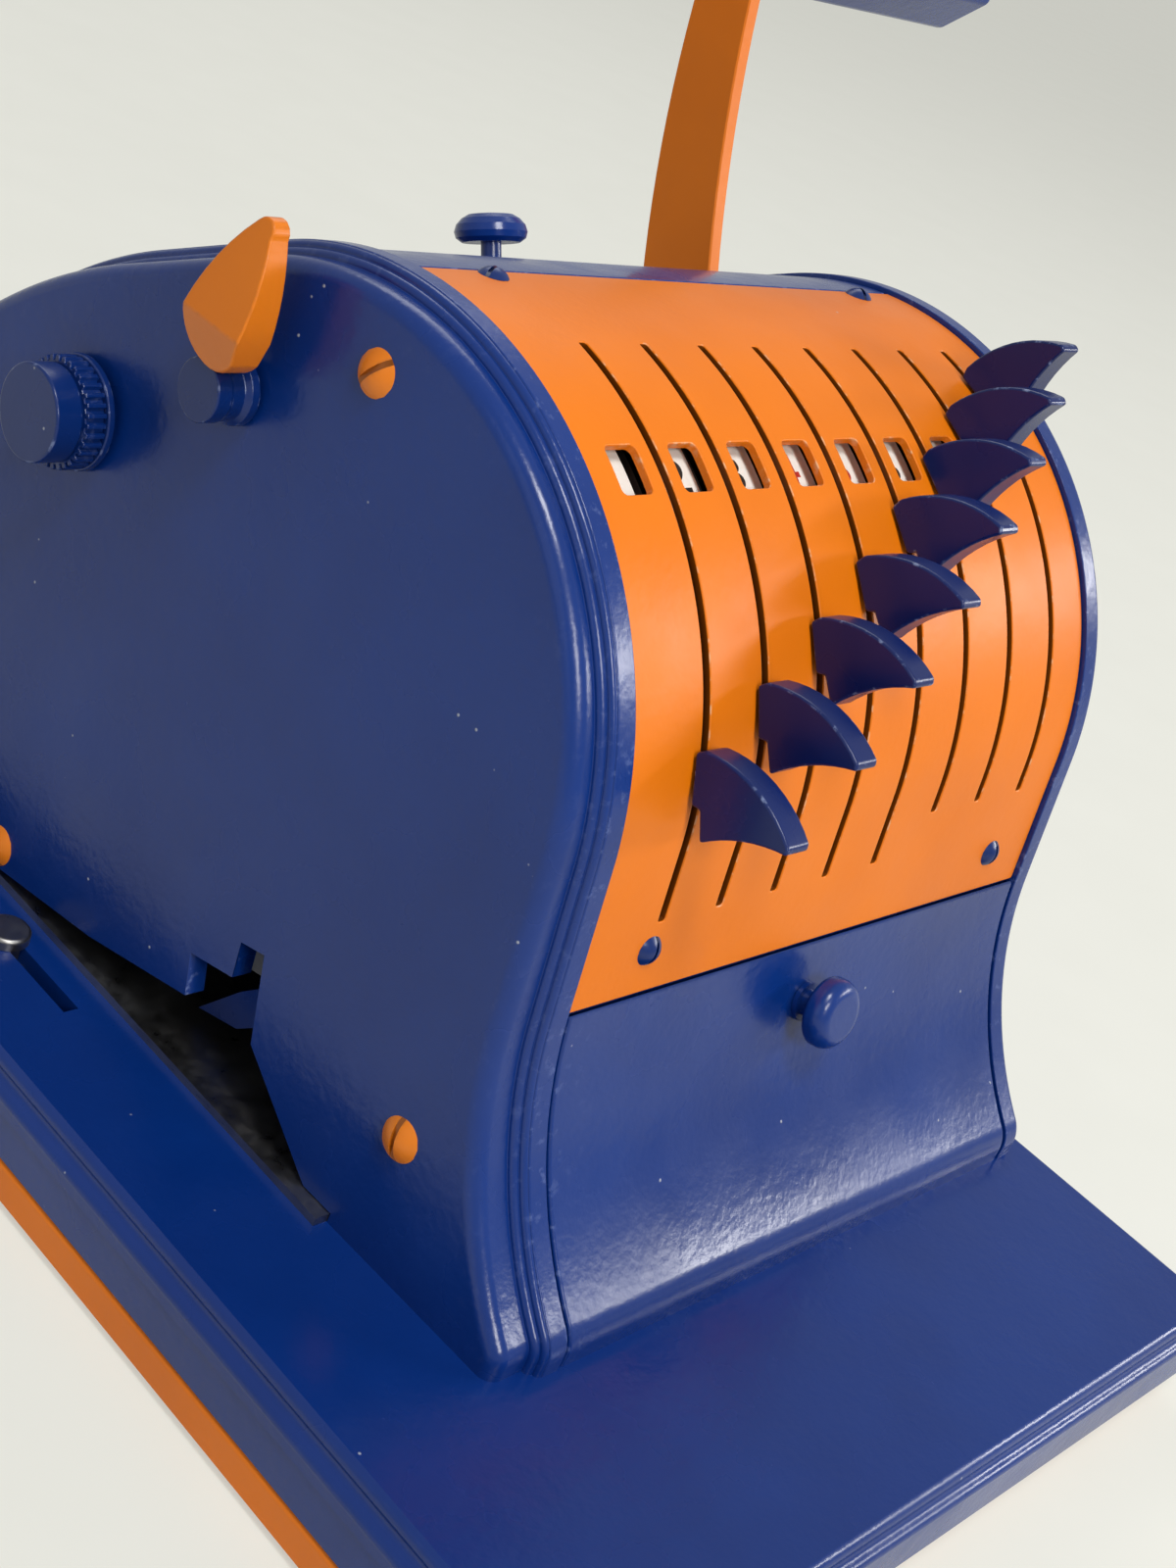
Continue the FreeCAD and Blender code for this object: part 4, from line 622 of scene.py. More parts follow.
def sprayed_paint(name, colour, deeper, worn, roughness, dust=0.5, peel=1.0, chips=0.5, level=0.45):
    """Sprayed enamel over an uneven ground: peel, specks of dust, thin and chipped edges.

    A positive attribute value brings out the worn colour in flecks; a negative one paints shade.
    """
    n = new_material(name)
    broad = n.noise(22.0, 3.0)
    tone = n.mix(n.span(broad, 0.35, 0.65), rgb(*deeper), rgb(*colour))
    edge = n.add("ShaderNodeAttribute", attribute_name="wear").outputs["Fac"]
    flecks = n.noise(CHIP_SCALE, 4.0, 0.65)
    flecks = n.span(flecks, 0.62 - 0.16 * chips, 0.7 - 0.1 * chips)
    tone = n.mix(n.math("MULTIPLY", edge, flecks, clamp=True), tone, rgb(*worn))
    # painted shade: negative values of the attribute darken the paint in cuts and slots
    recess_shade = n.math("MULTIPLY", edge, -1.0, clamp=True)
    tone = n.mix(recess_shade, tone, rgb(*(RECESS_SHADE * c for c in deeper)))
    cells = n.add("ShaderNodeTexVoronoi", {"Vector": n.space(), "Scale": DUST_SCALE})
    speck = n.span(cells.outputs["Distance"], 0.035, 0.07, 1.0, 0.0)
    chance = n.add("ShaderNodeSeparateColor", {0: cells.outputs["Color"]}).outputs[0]
    speck = n.math("MULTIPLY", speck, n.math("LESS_THAN", chance, DUST_CHANCE * dust))
    tone = n.mix(n.math("MULTIPLY", speck, 0.6), tone, rgb(*DUST))
    peel_height = n.noise(PEEL_SCALE, 2.0, 0.55)
    ground = n.noise(GROUND_SCALE, 3.0, 0.6)
    normal = n.bump(ground, 0.16 * peel, 0.0006)
    normal = n.bump(peel_height, 0.12 * peel, 0.0003, normal)
    normal = n.bump(speck, 0.5, 0.0001, normal)
    gloss = n.span(n.noise(60.0, 4.0), 0.3, 0.7, roughness - 0.05, roughness + 0.06)
    return n.finish(Base_Color=tone, Roughness=gloss, Normal=normal, IOR=ENAMEL_IOR,
                    Specular_IOR_Level=level)


def bare_metal(name, colour, deeper, roughness, grain=(1.0, 1.0, 14.0)):
    """Worked metal: fine lines across the grain, in two tones."""
    n = new_material(name)
    lines = n.noise(260.0, 4.0, 0.7, grain)
    tone = n.mix(n.span(n.noise(45.0, 4.0), 0.35, 0.65), rgb(*deeper), rgb(*colour))
    tone = n.mix(n.span(lines, 0.3, 0.75, 0.0, 0.35), tone, rgb(*deeper))
    gloss = n.span(lines, 0.3, 0.7, roughness - 0.08, roughness + 0.1)
    return n.finish(Base_Color=tone, Roughness=gloss, Metallic=1.0,
                    Normal=n.bump(lines, 0.12, 0.0002))


def soft_surface(name, colour, deeper, scale, depth, roughness):
    """Card, cloth, felt or ink: fine fibres of two tones."""
    n = new_material(name)
    fibres = n.noise(scale, 4.0, 0.7)
    tone = n.mix(n.span(fibres, 0.35, 0.65), rgb(*deeper), rgb(*colour))
    gloss = n.span(fibres, 0.3, 0.7, roughness - 0.04, roughness + 0.04)
    return n.finish(Base_Color=tone, Roughness=gloss, Normal=n.bump(fibres, 0.3, depth))


NAVY = sprayed_paint("navy_enamel", (0.002, 0.029, 0.190), (0.001, 0.022, 0.155),
                     (0.12, 0.17, 0.38), 0.25, dust=1.2, peel=1.5, chips=0.3, level=0.48)
NAVY_SMALL = sprayed_paint("navy_enamel_small", (0.002, 0.022, 0.140), (0.001, 0.016, 0.110),
                           (0.13, 0.17, 0.33), 0.27, dust=0.5, peel=0.6, chips=0.5)
# darker copy of the navy paint for the fins: painted shade, standing for the shade on their flanks
NAVY_FIN_SHADED = sprayed_paint("navy_enamel_fin_shaded", (0.0005, 0.012, 0.105), (0.0005, 0.009, 0.085),
                         (0.16, 0.21, 0.38), 0.28, dust=0.3, peel=0.5, chips=0.35)
ORANGE = sprayed_paint("orange_enamel", (0.80, 0.190, 0.002), (0.72, 0.166, 0.002),
                       (0.82, 0.62, 0.40), 0.42, dust=0.2, chips=0.5, level=0.32)
ORANGE_SMALL = sprayed_paint("orange_enamel_small", (0.78, 0.205, 0.008), (0.70, 0.175, 0.006),
                             (0.30, 0.10, 0.03), 0.34, dust=0.4, peel=0.7, chips=0.8)
STEEL = bare_metal("bare_steel", (0.42, 0.42, 0.41), (0.24, 0.23, 0.22), 0.34)
# near-black steel: painted shade for the number band seen through the windows beside the strips
SHADED_STEEL = bare_metal("steel_painted_shade", (0.030, 0.024, 0.020), (0.014, 0.011, 0.009), 0.48)
SPRING_STEEL = bare_metal("spring_steel", (0.30, 0.31, 0.33), (0.18, 0.18, 0.19), 0.3, (1, 1, 1))
BRASS = bare_metal("bush_brass", (0.68, 0.50, 0.22), (0.45, 0.31, 0.12), 0.33)
CARD = soft_surface("cream_card", (0.93, 0.92, 0.86), (0.88, 0.86, 0.78), 900.0, 0.00005, 0.55)
FELT = soft_surface("green_felt", (0.03, 0.075, 0.045), (0.015, 0.04, 0.025), 1400.0, 0.0004, 0.95)
CLOTH = soft_surface("ribbon_cloth", (0.02, 0.02, 0.032), (0.01, 0.01, 0.018), 2200.0, 0.0002, 0.9)
INK = soft_surface("figure_ink", (0.012, 0.011, 0.010), (0.030, 0.028, 0.026), 700.0, 2e-5, 0.5)
RED_INK = soft_surface("figure_ink_red", (0.6, 0.045, 0.03), (0.42, 0.03, 0.02), 700.0, 2e-5, 0.5)

CAD_PAINT = {
    "navy_paint": NAVY, "orange_paint": ORANGE, "steel": STEEL, "spring_steel": SPRING_STEEL,
    "brass": BRASS, "felt": FELT, "ribbon_cloth": CLOTH, "strip_card": CARD,
    "dark_steel": SHADED_STEEL,
}
for subpart in frame["record"]["subparts"]:
    materials = frame["nodes"][subpart["node"]].data.materials
    materials.clear()
    materials.append(CAD_PAINT[subpart["material_slot"]])


# ---- panel and covers ----
SHEET_CORNER = 0.6         # of the panel and the rear cover
SLOT_CORNER = 0.5
WINDOW_CORNER = 1.1
CUT_EDGE = 0.26            # rounding of the edges of slots and windows
CUT_CLEAR = 0.8            # the grid of a sheet keeps this far from a cut
GRID_INSET = 0.6           # and this far from the sheet's edges
PANEL_CHIPS = 0.55         # the panel is chipped less than other sheets


def sheet_grid(low, high, du, dv, blocked=()):
    """Places of a grid on a sheet that keep clear of rectangles (u0, u1, v0, v1)."""
    side = HALF_WIDTH - GRID_INSET
    places = [(u, v) for u in spread(-side, side, du)[1:]
              for v in spread(low + GRID_INSET, high - GRID_INSET, dv)[1:]]
    return [(u, v) for u, v in places if not any(a < u < b and c < v < d for a, b, c, d in blocked)]


def front_panel():
    """Panel with a slot and a window for each lever."""
    low, high = BODY.at_height(SEAM_Z), BODY.on_drum(PANEL_EDGE)
    outer = rounded_box(-HALF_WIDTH, HALF_WIDTH, low, high, SHEET_CORNER)
    middle = BODY.on_drum(WINDOW_ANGLE)
    holes, blocked = [], []

    def cut(u, half, v0, v1, corner):
        holes.append(rounded_box(u - half, u + half, v0, v1, corner))
        wide = half + CUT_CLEAR
        blocked.append((u - wide, u + wide, v0 - CUT_CLEAR, v1 + CUT_CLEAR))

    for x, angle in zip(SLOT_X, SLOT_LOW):
        cut(x, SLOT_HALF, BODY.at_ray(angle), BODY.on_drum(SLOT_TOP), SLOT_CORNER)
        cut(x - WINDOW_SHIFT, WINDOW_HALF_W, middle - WINDOW_HALF_H, middle + WINDOW_HALF_H,
            WINDOW_CORNER)
    slots = range(0, 2 * COUNT, 2)
    shell = Shell()
    grid = sheet_grid(low, high, 3.5, 1.5, blocked)
    sheet(shell, outer, holes, grid, CUT_EDGE, PANEL_CHIPS, slots)
    shell.build("panel_skin", "chassis", ORANGE, "orange_paint", ["front_panel"])


def rear_cover():
    low = BODY.on_drum(PANEL_EDGE) + SEAM_GAP
    outer = rounded_box(-HALF_WIDTH, HALF_WIDTH, low, BODY.total, SHEET_CORNER)
    shell = Shell()
    sheet(shell, outer, [], sheet_grid(low, BODY.total, 6.0, 1.6))
    shell.build("rear_cover_skin", "chassis", NAVY, "navy_paint", ["rear_cover"])


def swept(shell, section, stations, closed):
    """Surface of a section of (x, grow, x normal, outward normal, wear) rows along the outline."""
    rows = []
    for s in stations:
        row = []
        for x, grow, nx, ng, wear in section(s):
            spot, angle = BODY.at(s, grow)
            normal = Vector((nx, 0, 0)) + out(angle) * ng
            row.append(shell.vertex((x, spot.y, spot.z), normal, wear))
        rows.append(row)
    for a, b in zip(rows, rows[1:]):
        shell.strip(a, b, closed)
    return rows


def lower_cover():
    """Hollow front cover with rounded sides and a rounded top edge."""
    top = BODY.at_height(SEAM_Z - SEAM_GAP)
    half, back = HALF_WIDTH - COVER_SIDE, COVER_PROUD - COVER_T
    corner, high = half - COVER_ROUND, COVER_PROUD - COVER_ROUND

    def section(s):
        drop = max(0.0, s - (top - COVER_LIP))
        sink = COVER_LIP - math.sqrt(max(0.0, COVER_LIP ** 2 - drop ** 2)) if drop else 0.0
        left, right = [], []
        for turn in (90, 68, 45, 22, 0):
            up, side = math.cos(math.radians(turn)), math.sin(math.radians(turn))
            x, grow = corner + COVER_ROUND * side, high + COVER_ROUND * up - sink
            wear = 0.6 if 20 < turn < 70 else 0.2
            right.append((x, grow, side, up, wear))
            left.append((-x, grow, -side, up, wear))
        middle = [(x, COVER_PROUD - sink, 0, 1, 0.0) for x in spread(half - 4, -half + 4, 6.0)]
        under = [(-half, back, -1, 0, 0), (-half + 0.3, back, 0, -1, 0),
                 (half - 0.3, back, 0, -1, 0), (half, back, 1, 0, 0)]
        return right + middle + left[::-1] + under

    stations = BODY.stations(0.0, top - COVER_LIP)
    stations += [top - COVER_LIP + COVER_LIP * math.sin(math.radians(a)) for a in (30, 60, 80, 90)]
    shell = Shell()
    swept(shell, section, stations, closed=True)
    shell.build("lower_cover_skin", "chassis", NAVY, "navy_paint", ["lower_cover"])


# ---- cast side frames ----
# the check's opening in the left frame, as (y, z) from its rear foot to its front foot
THROAT = [(58.2, -68.5), (58.2, -66.7), (48.0, -66.7), (14.8, -61.8), (-10.0, -55.9),
          (-7.9, -48.5), (-18.0, -46.1), (-17.2, -39.5), (-22.6, -38.2), (-26.7, -53.4),
          (-47.2, -66.7), (-54.2, -66.7), (-54.2, -68.5)]
IN_THROAT = Vector((0, -20, -75))
# rim and its edge as (outward, grow, outward normal, skin normal, wear)
RIM = [(0.0, -3.0, -1, 0, 0), (0.0, 0.65, -1, 0, 0.4), (0.07, 0.83, -0.7, 0.7, 0.9),
       (0.25, 0.9, 0, 1, 0.4), (3.6, 0.9, 0, 1, 0.2)]
# rim's outer edge and the two rounds as (outward, grow, radius, crease after it, wear)
ROUNDS = [(3.6, 0.5, 0.4, 0.5, 0.6), (4.03, -0.2, 0.92, -0.55, 0.15),
          (4.98, -1.5, 1.12, -1.8, 0.15)]


def face_x(side, y, z):
    """X of a frame's outer face; side is -1 at the left and 1 at the right."""
    return RIGHT_FACE if side > 0 else -(LEFT_FACE + LEFT_FLARE_Y * y + LEFT_FLARE_Z * z)


def face_normal(side):
    if side > 0:
        return Vector((1, 0, 0))
    return Vector((-1, -LEFT_FLARE_Y, -LEFT_FLARE_Z)).normalized()


def moulding():
    """Rows of the rim and the rounds, as in RIM."""
    rows = list(RIM)
    for d, g, radius, crease, wear in ROUNDS:
        for k in range(9):
            a = math.radians(11.25 * k)
            rows.append((d + radius * math.sin(a), g + radius * math.cos(a),
                         math.sin(a), math.cos(a), wear))
        rows.append((d + radius, crease, 0.6, 0.8, 0.0))
    return rows


def side_frame(side):
    """Cast frame: moulding and shoulder swept along the outline, outer and inner face, throat."""
    shell = Shell()
    low = -SHOULDER_DROP
    edge = moulding()
    normal = face_normal(side)

    def section(s):
        rows = [(side * (FRAME_IN + d), g, side * nd, ng, wear) for d, g, nd, ng, wear in edge]
        spot, _ = BODY.at(s, low - SHOULDER)
        x = abs(face_x(side, spot.y, spot.z)) - SHOULDER
        rows.append((side * (FRAME_IN + SHOULDER_OUT), low, 0, 1, 0))
        for k in range(11):
            a = math.radians(9.0 * k)
            rows.append((side * (x + SHOULDER * math.sin(a)), low - SHOULDER * (1 - math.cos(a)),
                         side * math.sin(a), math.cos(a), 0.05))
        return rows

    rows = swept(shell, section, BODY.stations(0.0, BODY.total, 1.6), closed=False)
    loop = []
    for row in rows:
        vertex = row[-1]
        spot = shell.places[vertex]
        shell.normals[vertex] = normal
        loop.append(((spot.y, spot.z), vertex))

    def flat(depth, sign):
        def lift(yz):
            x = face_x(side, *yz) - side * depth
            return shell.vertex((x, yz[0], yz[1]), normal * sign)
        return lift

    front, back = flat(0.0, 1), flat(WALL, -1)
    notch = []
    if side < 0:
        notch = [yz for a, b in zip(THROAT, THROAT[1:]) for yz in lined(a, b, 1.2)] + THROAT[-1:]
    outer = loop + [(yz, front(yz)) for yz in notch]
    shell.fill([outer], front, plane_grid(outer, 6.0))
    behind = [(yz, back(yz)) for yz, _ in outer]
    shell.fill([behind], back, plane_grid(behind, 9.0))
    for a, b in zip(notch, notch[1:]):
        turn = Vector((0, b[1] - a[1], a[0] - b[0])).normalized()
        if turn.dot(IN_THROAT - Vector((0, *a))) < 0:
            turn = -turn
        ring = []
        for yz in (a, b):
            for depth, sideways in ((0.0, 0.5), (0.25, 0.9), (WALL, 1.0)):
                x = face_x(side, *yz) - side * depth
                way = turn * sideways + normal * math.sqrt(1 - sideways ** 2)
                wear = 0.8 - 0.2 * depth if depth < 1 else 0.0
                ring.append(shell.vertex((x, yz[0], yz[1]), way, wear))
        shell.strip(ring[:3], ring[3:])
    name = "left" if side < 0 else "right"
    shell.build(name + "_frame_casting", "chassis", NAVY, "navy_paint", [name + "_side_frame"])


def lined(a, b, step):
    """Flat places from a towards b, without b."""
    count = max(1, math.ceil(math.dist(a, b) / step))
    du, dv = b[0] - a[0], b[1] - a[1]
    return [(a[0] + du * i / count, a[1] + dv * i / count) for i in range(count)]


def plane_grid(loop, step):
    """Places of a square grid well inside a loop of (flat place, vertex) pairs."""
    ring = [p for p, _ in loop]
    us, vs = [p[0] for p in ring], [p[1] for p in ring]
    cells = [(u, v) for u in spread(min(us), max(us), step)[1:]
             for v in spread(min(vs), max(vs), step)[1:]]
    return [cell for cell in cells
            if inside(cell, [ring]) and min(math.dist(cell, p) for p in ring) > step / 3]


# ---- slotted screws ----
# (y, z) of the side screws and the angles of their slots
SIDE_SCREWS = {
    -1: ((-2.3, 55.0), (-60.5, -45.9), (43.0, -61.9)),
    1: ((72.0, 14.0), (-60.5, -45.9), (43.0, -61.9)),
}
SIDE_SLOT_ANGLES = (-36, 15, 40)
SIDE_HEAD_R = 3.8
SIDE_HEAD_H = 1.9
SIDE_SHANK_R = 2.0
SIDE_SHANK_IN = 60.6       # x where the shanks end
PANEL_SCREW_X = (-47.85, 51.15)
PANEL_SCREW_TOP = 95.9
PANEL_SCREW_LOW = 17.6     # below the drum, along the front flat
PANEL_HEAD_R = 2.6
PANEL_HEAD_H = 1.5
PANEL_SHANK_R = 1.4
PANEL_SHANK_L = 3.1
SHANK_EDGE = 0.2
SLOT_LIP_WEAR = 0.5        # values about the slot of a screw: worn flecks at its lip, painted shade on its wall and floor
SLOT_RIM_SHADE = -0.3
SLOT_FLOOR_SHADE = -0.6


def slotted_head(shell, place, axis, angle, radius, rise, depth):
    """Domed screw head with a straight slot, turned by an angle about its axis."""
    turn = Vector((0, 0, 1)).rotation_difference(Vector(axis)).to_matrix()
    turn = turn @ Matrix.Rotation(math.radians(angle), 3, "Z")
    ball = (radius ** 2 + rise ** 2) / (2 * rise)
    half = radius / 8

    def lane(v, lowered, wall, wear):
        """Row of vertices along the slot; wall is the way that a slot wall faces, or 0."""
        reach = math.sqrt(max(radius ** 2 - v ** 2, 1e-6))
        row = []
        for i in range(15):
            u = reach * math.cos(math.pi * i / 14)
            top = math.sqrt(ball ** 2 - u ** 2 - v ** 2) - ball + rise
            height = min(top, rise - depth) if lowered else top
            normal = Vector((u, v, ball))
            if wall or lowered:
                normal = Vector((0, wall, 0 if wall else 1))
            spot = Vector(place) + turn @ Vector((u, v, height))
            row.append(shell.vertex(spot, turn @ normal, wear))
        return row

    lanes = [(v, False, 0, 0.0) for v in spread(-radius, -half, radius / 9)]
    # the slot's lip is worn; its wall and floor get painted shade
    lanes += [(-half, False, 0, SLOT_LIP_WEAR), (-half, False, 1, SLOT_RIM_SHADE),
              (-half, True, 1, SLOT_FLOOR_SHADE), (-half, True, 0, SLOT_FLOOR_SHADE)]
    lanes += [(-v, lowered, -wall, wear) for v, lowered, wall, wear in reversed(lanes)]
    rows = [lane(*settings) for settings in lanes]
    for a, b in zip(rows, rows[1:]):
        shell.strip(a, b)


def shank(shell, place, axis, radius, length):
    profile = [(0, -length), (radius, -length), (radius, 0), (0, 0)]
    round_axis(shell, place, axis, profile, 24, SHANK_EDGE)


def screws():
    """Side screws of the frames and the four screws of the panel."""
    shell = Shell()
    for side, places in SIDE_SCREWS.items():
        for (y, z), angle in zip(places, SIDE_SLOT_ANGLES):
            axis = face_normal(side)
            place = (face_x(side, y, z), y, z)
            slotted_head(shell, place, axis, angle, SIDE_HEAD_R, SIDE_HEAD_H, 0.75)
            shank(shell, place, axis, SIDE_SHANK_R, abs(place[0]) - SIDE_SHANK_IN)
    shell.build("side_screw_heads", "chassis", ORANGE_SMALL, "orange_paint", ["side_screws"])
    shell = Shell()
    top = out(PANEL_SCREW_TOP) * DRUM_R
    low = out(FRONT_LEAN) * DRUM_R - along(FRONT_LEAN) * PANEL_SCREW_LOW
    for spot, lean, angles in ((top, PANEL_SCREW_TOP, (20, 70)), (low, FRONT_LEAN, (75, 80))):
        for x, angle in zip(PANEL_SCREW_X, angles):
            place = (x, spot.y, spot.z)
            slotted_head(shell, place, out(lean), angle, PANEL_HEAD_R, PANEL_HEAD_H, 0.7)
            shank(shell, place, out(lean), PANEL_SHANK_R, PANEL_SHANK_L)
    shell.build("panel_screw_heads", "chassis", NAVY_SMALL, "navy_paint", ["panel_screws"])


# ---- digit levers and number strips ----
FIN_EDGE = 0.5
FIGURE_SIZE = 8.6          # height of the type in font units
FIGURE_WIDEN = 1.55
FIGURE_BOLD = 0.12
FIGURE_AHEAD = 39.8        # from a lever to the figure 1 of its strip
RED_LEVERS = (3, 4)


def fin(index):
    """Finger piece of a digit lever; its side view is (above the panel, height)."""
    foot = [(0.80, -4.25), (0.35, 3.9)]
    crown = arc_points((2.2, 4.6), (11.7, 1.9), (19.5, -5.4), 10)
    belly = arc_points((19.2, -6.6), (10.9, -6.95), (3.3, -9.5), 8)
    loop = foot + crown + belly + [(2.5, -4.6)]
    angle = LEVER_ANGLE[index]

    def place(x, above, height):
        spot = out(angle) * (DRUM_R + above) + along(angle) * height
        return (SLOT_X[index] + x, spot.y, spot.z)

    edged_slab(f"fin_{index + 1}", loop, -FIN_HALF, FIN_HALF, FIN_EDGE, NAVY_FIN_SHADED,
               f"digit_{index + 1}", "navy_paint", [f"lever_{index + 1}"], place)


def figure(shell, index, number):
    """One printed figure, bent round a number strip."""
    curve = bpy.data.curves.new("figure", "FONT")
    curve.body = str(number)
    curve.size = FIGURE_SIZE
    curve.offset = FIGURE_BOLD
    curve.align_x, curve.align_y = "CENTER", "CENTER"
    writing = add_object("figure", curve)
    bpy.context.view_layer.update()
    drawn = writing.evaluated_get(bpy.context.evaluated_depsgraph_get())
    flat = drawn.to_mesh()
    middle = LEVER_ANGLE[index] + FIGURE_AHEAD - DIGIT_STEP * (number - 1)
    ids = []
    for vertex in flat.vertices:
        angle = middle + math.degrees(vertex.co.y / FIGURE_R)
        spot = out(angle) * (FIGURE_R + INK_T)
        x = SLOT_X[index] - WINDOW_SHIFT + vertex.co.x * FIGURE_WIDEN
        ids.append(shell.vertex((x, spot.y, spot.z), out(angle)))
    for face in flat.polygons:
        shell.face([ids[i] for i in face.vertices])
    drawn.to_mesh_clear()
    bpy.data.objects.remove(writing)
    bpy.data.curves.remove(curve)


def figures(index):
    """All figures of one number strip, black or red."""
    shell = Shell()
    for number in range(10):
        figure(shell, index, number)
    ink = RED_INK if index in RED_LEVERS else INK
    shell.build(f"figures_{index + 1}", f"digit_{index + 1}", ink, "strip_card")


# ---- finger lever, knob and grip ----
DROP_INNER = -81.3         # x of the inner face of the drop
DROP_OUTER = -88.0         # and of its outer face, at the bend
DROP_BEND = 51.1           # height of that bend
DROP_LEAN_UP = 3.6 / 18.0  # the outer face leans inward above the bend
DROP_LEAN_DOWN = 0.28      # and below it
DROP_EDGE = 0.4
GRIP_PLACE = (84.3, 119.3)
GRIP_X = (77.75, 148.35)
GRIP_ACROSS = 32.5
GRIP_EDGE = 1.2
TURNED_STEPS = 96          # of the knob; the hub has fewer


def teardrop():
    """Faceted drop: its outer face leans, with a bend above the hub."""
    tip = arc_points((17.15, 66.3), (19.1, 69.08), (21.4, 67.9), 6)
    rear = arc_points((21.4, 67.9), (25.9, 60.6), (28.6, DROP_BEND), 6)[1:]
    turn = arc_points((28.6, DROP_BEND), (27.4, 46.8), (24.0, 44.2), 8)[1:]
    under = arc_points((24.0, 44.2), (20.1, 43.8), (15.7, 46.7), 6)[1:]
    front = arc_points((14.4, DROP_BEND), (15.0, 59.0), (17.15, 66.3), 6)[:-1]
    loop = tip + rear + turn + under + front
    count, top, low = len(loop), len(tip + rear), len(loop) - len(front)

    def lean(z):
        if z > DROP_BEND:
            return DROP_LEAN_UP * (z - DROP_BEND)
        return DROP_LEAN_DOWN * (DROP_BEND - z)

    places = [(DROP_INNER, y, z) for y, z in loop]
    places += [(DROP_OUTER + lean(z), y, z) for y, z in loop]
    upper = [count + i for i in list(range(top)) + list(range(low, count))]
    lower = [count + i for i in range(top - 1, low + 1)]
    faces = [list(range(count)), upper, lower] + walls(count)
    edged_solid("finger_teardrop", places, faces, DROP_EDGE, ORANGE_SMALL, "finger", "orange_paint",
                ["finger_lever"], rub=0.2)


def finger_hub():
    """Hub with a neck and a collar, and its stub shaft and cam behind the frame."""
    profile = [(0, 0), (7.0, 0), (7.0, 1.4), (3.5, 1.4), (3.5, 18.7), (5.6, 18.7), (5.6, 20.3),
               (4.85, 21.2), (4.85, 23.4), (5.1, 24.0), (5.1, 26.6), (0, 26.6)]
    shell = Shell()
    round_axis(shell, (-58.9, 22.6, 39.4), (-1, 0, 0), profile, 72, 0.35)
    shell.build("finger_hub", "finger", NAVY_SMALL, "navy_paint")


def ribbon_knob():
    """Thin flange, a ring of square teeth and a smooth barrel."""
    place, axis = (-79.93, 54.8, 18.6), (-1, 0, 0)
    flange = [(0, 0), (9.8, 0), (9.8, 1.4), (0, 1.4)]
    barrel = [(7.9, 5.0), (8.25, 5.6), (8.25, 10.3), (0, 10.3)]
    shell = Shell()
    round_axis(shell, place, axis, flange, TURNED_STEPS, 0.4)
    toothed(shell, place, axis, 8.7, 9.5, 34, 1.4, 5.1)
    round_axis(shell, place, axis, barrel, TURNED_STEPS, 0.5)
    shell.build("ribbon_knob_turned", "rear_ribbon", NAVY_SMALL, "navy_paint", ["ribbon_knob"])


def handle_grip():
    """Eight-sided grip with rounded, rubbed edges."""
    radius = GRIP_ACROSS / 2 / math.cos(math.pi / 8)
    turns = [math.pi / 8 * (2 * k + 1) for k in range(8)]
    y, z = GRIP_PLACE
    loop = [(y + radius * math.cos(t), z + radius * math.sin(t)) for t in turns]
    edged_slab("grip_block", loop, *GRIP_X, GRIP_EDGE, NAVY, "handle", "navy_paint",
               ["handle_grip"], lambda *place: place, rub=0.35)


# ---- stage, light and camera: metres and watts ----
FLOOR_SIZE = 12.0
FLOOR_CELLS = 8
FLOOR_GLOW = 0.6           # share of plain light that the floor shows to the camera and to gloss
SKY_LIGHT = 0.16
SKY_SEEN = 0.6
# name, place, aim, size, power and colour
LAMPS = (
    ("key", (-0.40, -1.10, 0.80), (0, -0.05, 0.08), (0.36, 0.36), 7.4, (1.0, 0.98, 0.95)),
    ("glint", (0.94, -0.70, 0.52), (0, -0.06, 0.05), (0.60, 0.12), 5.5, (1.0, 0.99, 0.97)),
    ("top", (-0.30, -0.45, 1.20), (0, 0, 0.1), (0.3, 0.3), 7.0, (0.99, 0.99, 1.0)),
    ("back", (0.50, 0.75, 1.05), (0, 0, 0.08), (0.8, 0.5), 3.4, (0.98, 0.99, 1.0)),
    ("left", (-1.15, -0.15, 0.55), (0, 0, 0.08), (0.8, 0.8), 0.9, (0.93, 0.96, 1.0)),
)
# camera as fitted to the photo
LENS, SENSOR = 50.785, 36.0
CAMERA_PLACE = Vector((-0.302486, -0.220295, 0.256988))
CAMERA_RIGHT = Vector((0.66534908, -0.66251419, 0.34407202))
CAMERA_DOWN = Vector((-0.12996598, -0.55665164, -0.82051679))
CAMERA_AHEAD = Vector((0.73513227, 0.50121243, -0.45647196))


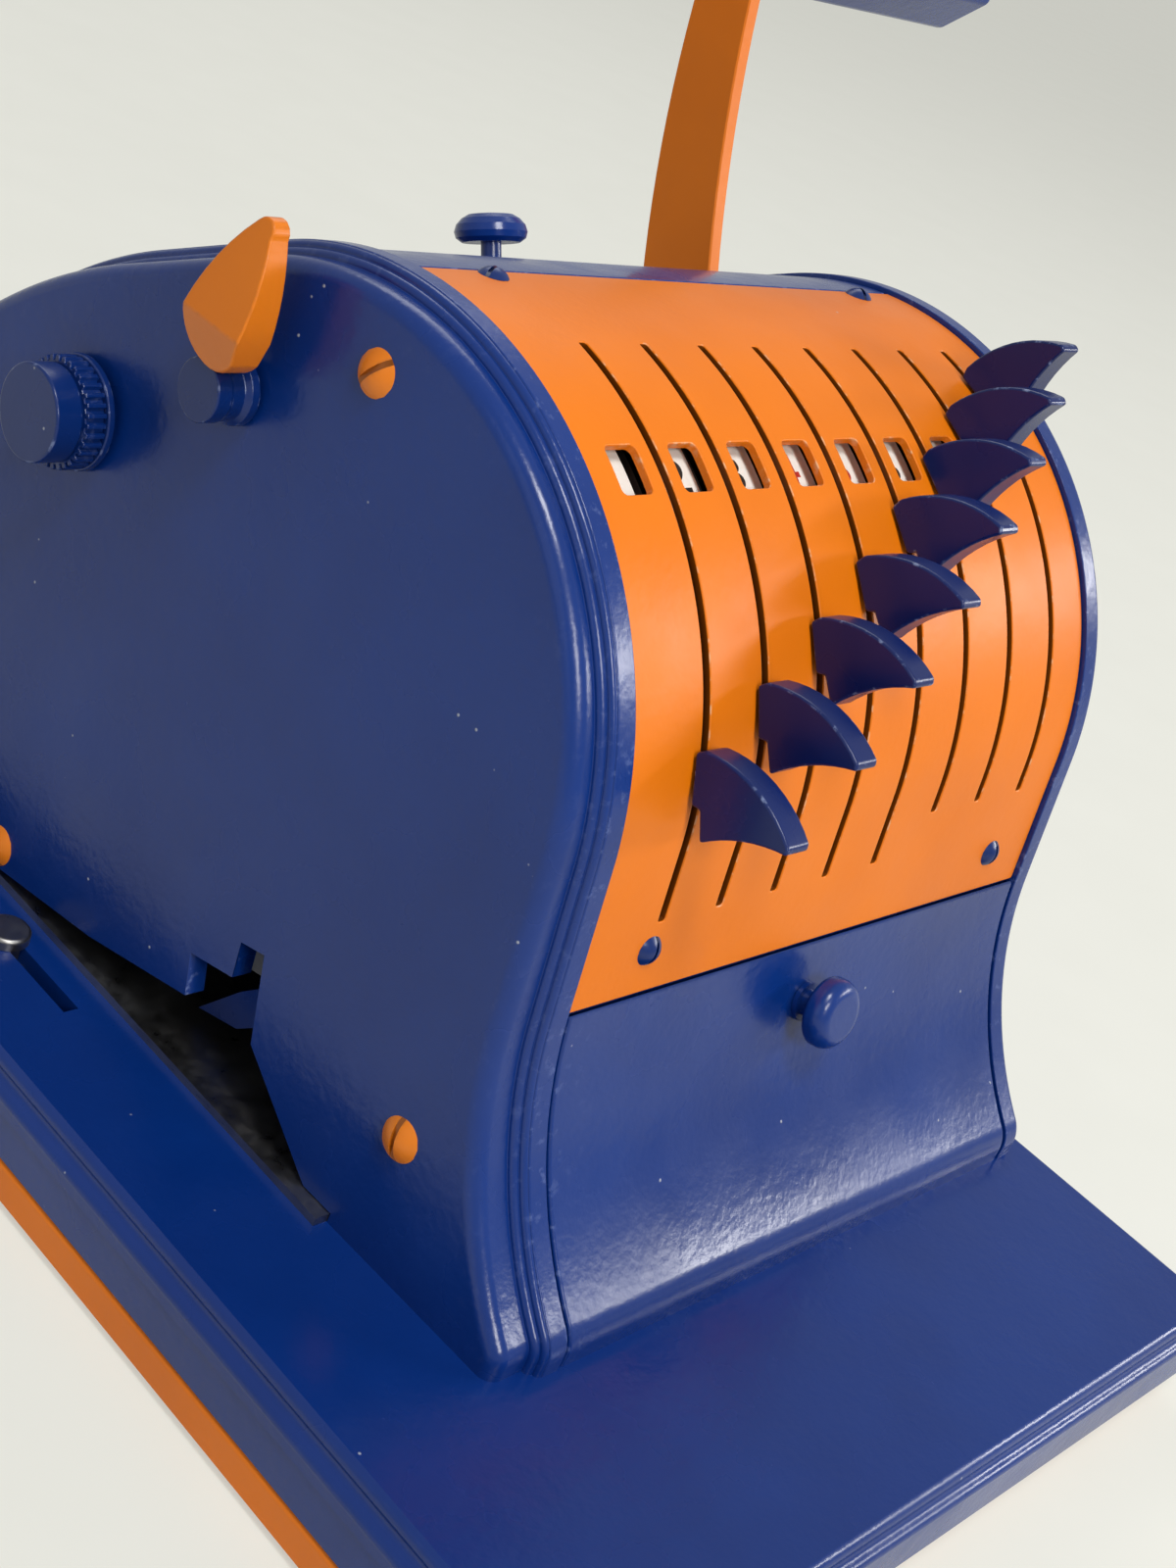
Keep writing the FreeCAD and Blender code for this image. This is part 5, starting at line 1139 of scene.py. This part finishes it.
def stage():
    """Pale floor that keeps the object's shadow, and looks as pale in gloss as to the camera."""
    cells, row = FLOOR_CELLS, FLOOR_CELLS + 1
    places = [((i / cells - 0.5) * FLOOR_SIZE, (j / cells - 0.5) * FLOOR_SIZE, 0.0)
              for i in range(row) for j in range(row)]
    corners = [i * row + j for i in range(cells) for j in range(cells)]
    mesh = bpy.data.meshes.new("floor")
    mesh.from_pydata(places, [], [(a, a + 1, a + row + 1, a + row) for a in corners])
    floor = add_object("floor", mesh)
    n = new_material("pale_floor")
    grain = n.noise(30.0, 4.0)
    tone = n.mix(n.span(grain, 0.3, 0.7), rgb(0.80, 0.80, 0.74), rgb(0.84, 0.84, 0.78))
    mesh.materials.append(n.finish(Base_Color=tone, Roughness=0.8))
    surface = n.tree.nodes["Material Output"].inputs["Surface"]
    glow = n.add("ShaderNodeEmission", {"Color": rgb(0.86, 0.86, 0.78), "Strength": 1.0}).outputs[0]
    share = n.math("MULTIPLY", n.seen(), FLOOR_GLOW)
    lit = surface.links[0].from_socket
    n.set(surface, n.add("ShaderNodeMixShader", {0: share, 1: lit, 2: glow}).outputs[0])


def lamp(name, place, aim, size, power, colour):
    data = bpy.data.lights.new(name, "AREA")
    data.shape = "RECTANGLE"
    data.size, data.size_y = size
    data.energy = power
    data.color = colour
    item = add_object(name, data)
    item.location = place
    item.rotation_euler = (Vector(aim) - Vector(place)).to_track_quat("-Z", "Y").to_euler()


def world():
    """Dim sky; camera, glossy and transmission rays see it pale, the camera in the floor's tone."""
    n = Nodes(bpy.data.worlds.new("studio"))
    bpy.context.scene.world = n.owner
    back = n.tree.nodes["Background"].inputs
    to_camera = n.add("ShaderNodeLightPath").outputs["Is Camera Ray"]
    n.set(back["Color"], n.mix(to_camera, rgb(0.94, 0.97, 1.0), rgb(1.0, 1.0, 0.91)))
    n.set(back["Strength"], n.span(n.seen(), 0.0, 1.0, SKY_LIGHT, SKY_SEEN))


def camera():
    data = bpy.data.cameras.new("view")
    data.lens, data.sensor_width = LENS, SENSOR
    data.clip_start, data.clip_end = 0.01, 20.0
    item = add_object("view", data)
    turn = Matrix((CAMERA_RIGHT, -CAMERA_DOWN, -CAMERA_AHEAD)).transposed().to_4x4()
    item.matrix_world = Matrix.Translation(CAMERA_PLACE) @ turn
    bpy.context.scene.camera = item


# ---- the scene ----
front_panel()
rear_cover()
lower_cover()
side_frame(-1)
side_frame(1)
for index in range(COUNT):
    fin(index)
    figures(index)
screws()
teardrop()
finger_hub()
ribbon_knob()
handle_grip()
stage()
world()
for settings in LAMPS:
    lamp(*settings)
camera()
bpy.context.scene.view_settings.view_transform = "Standard"
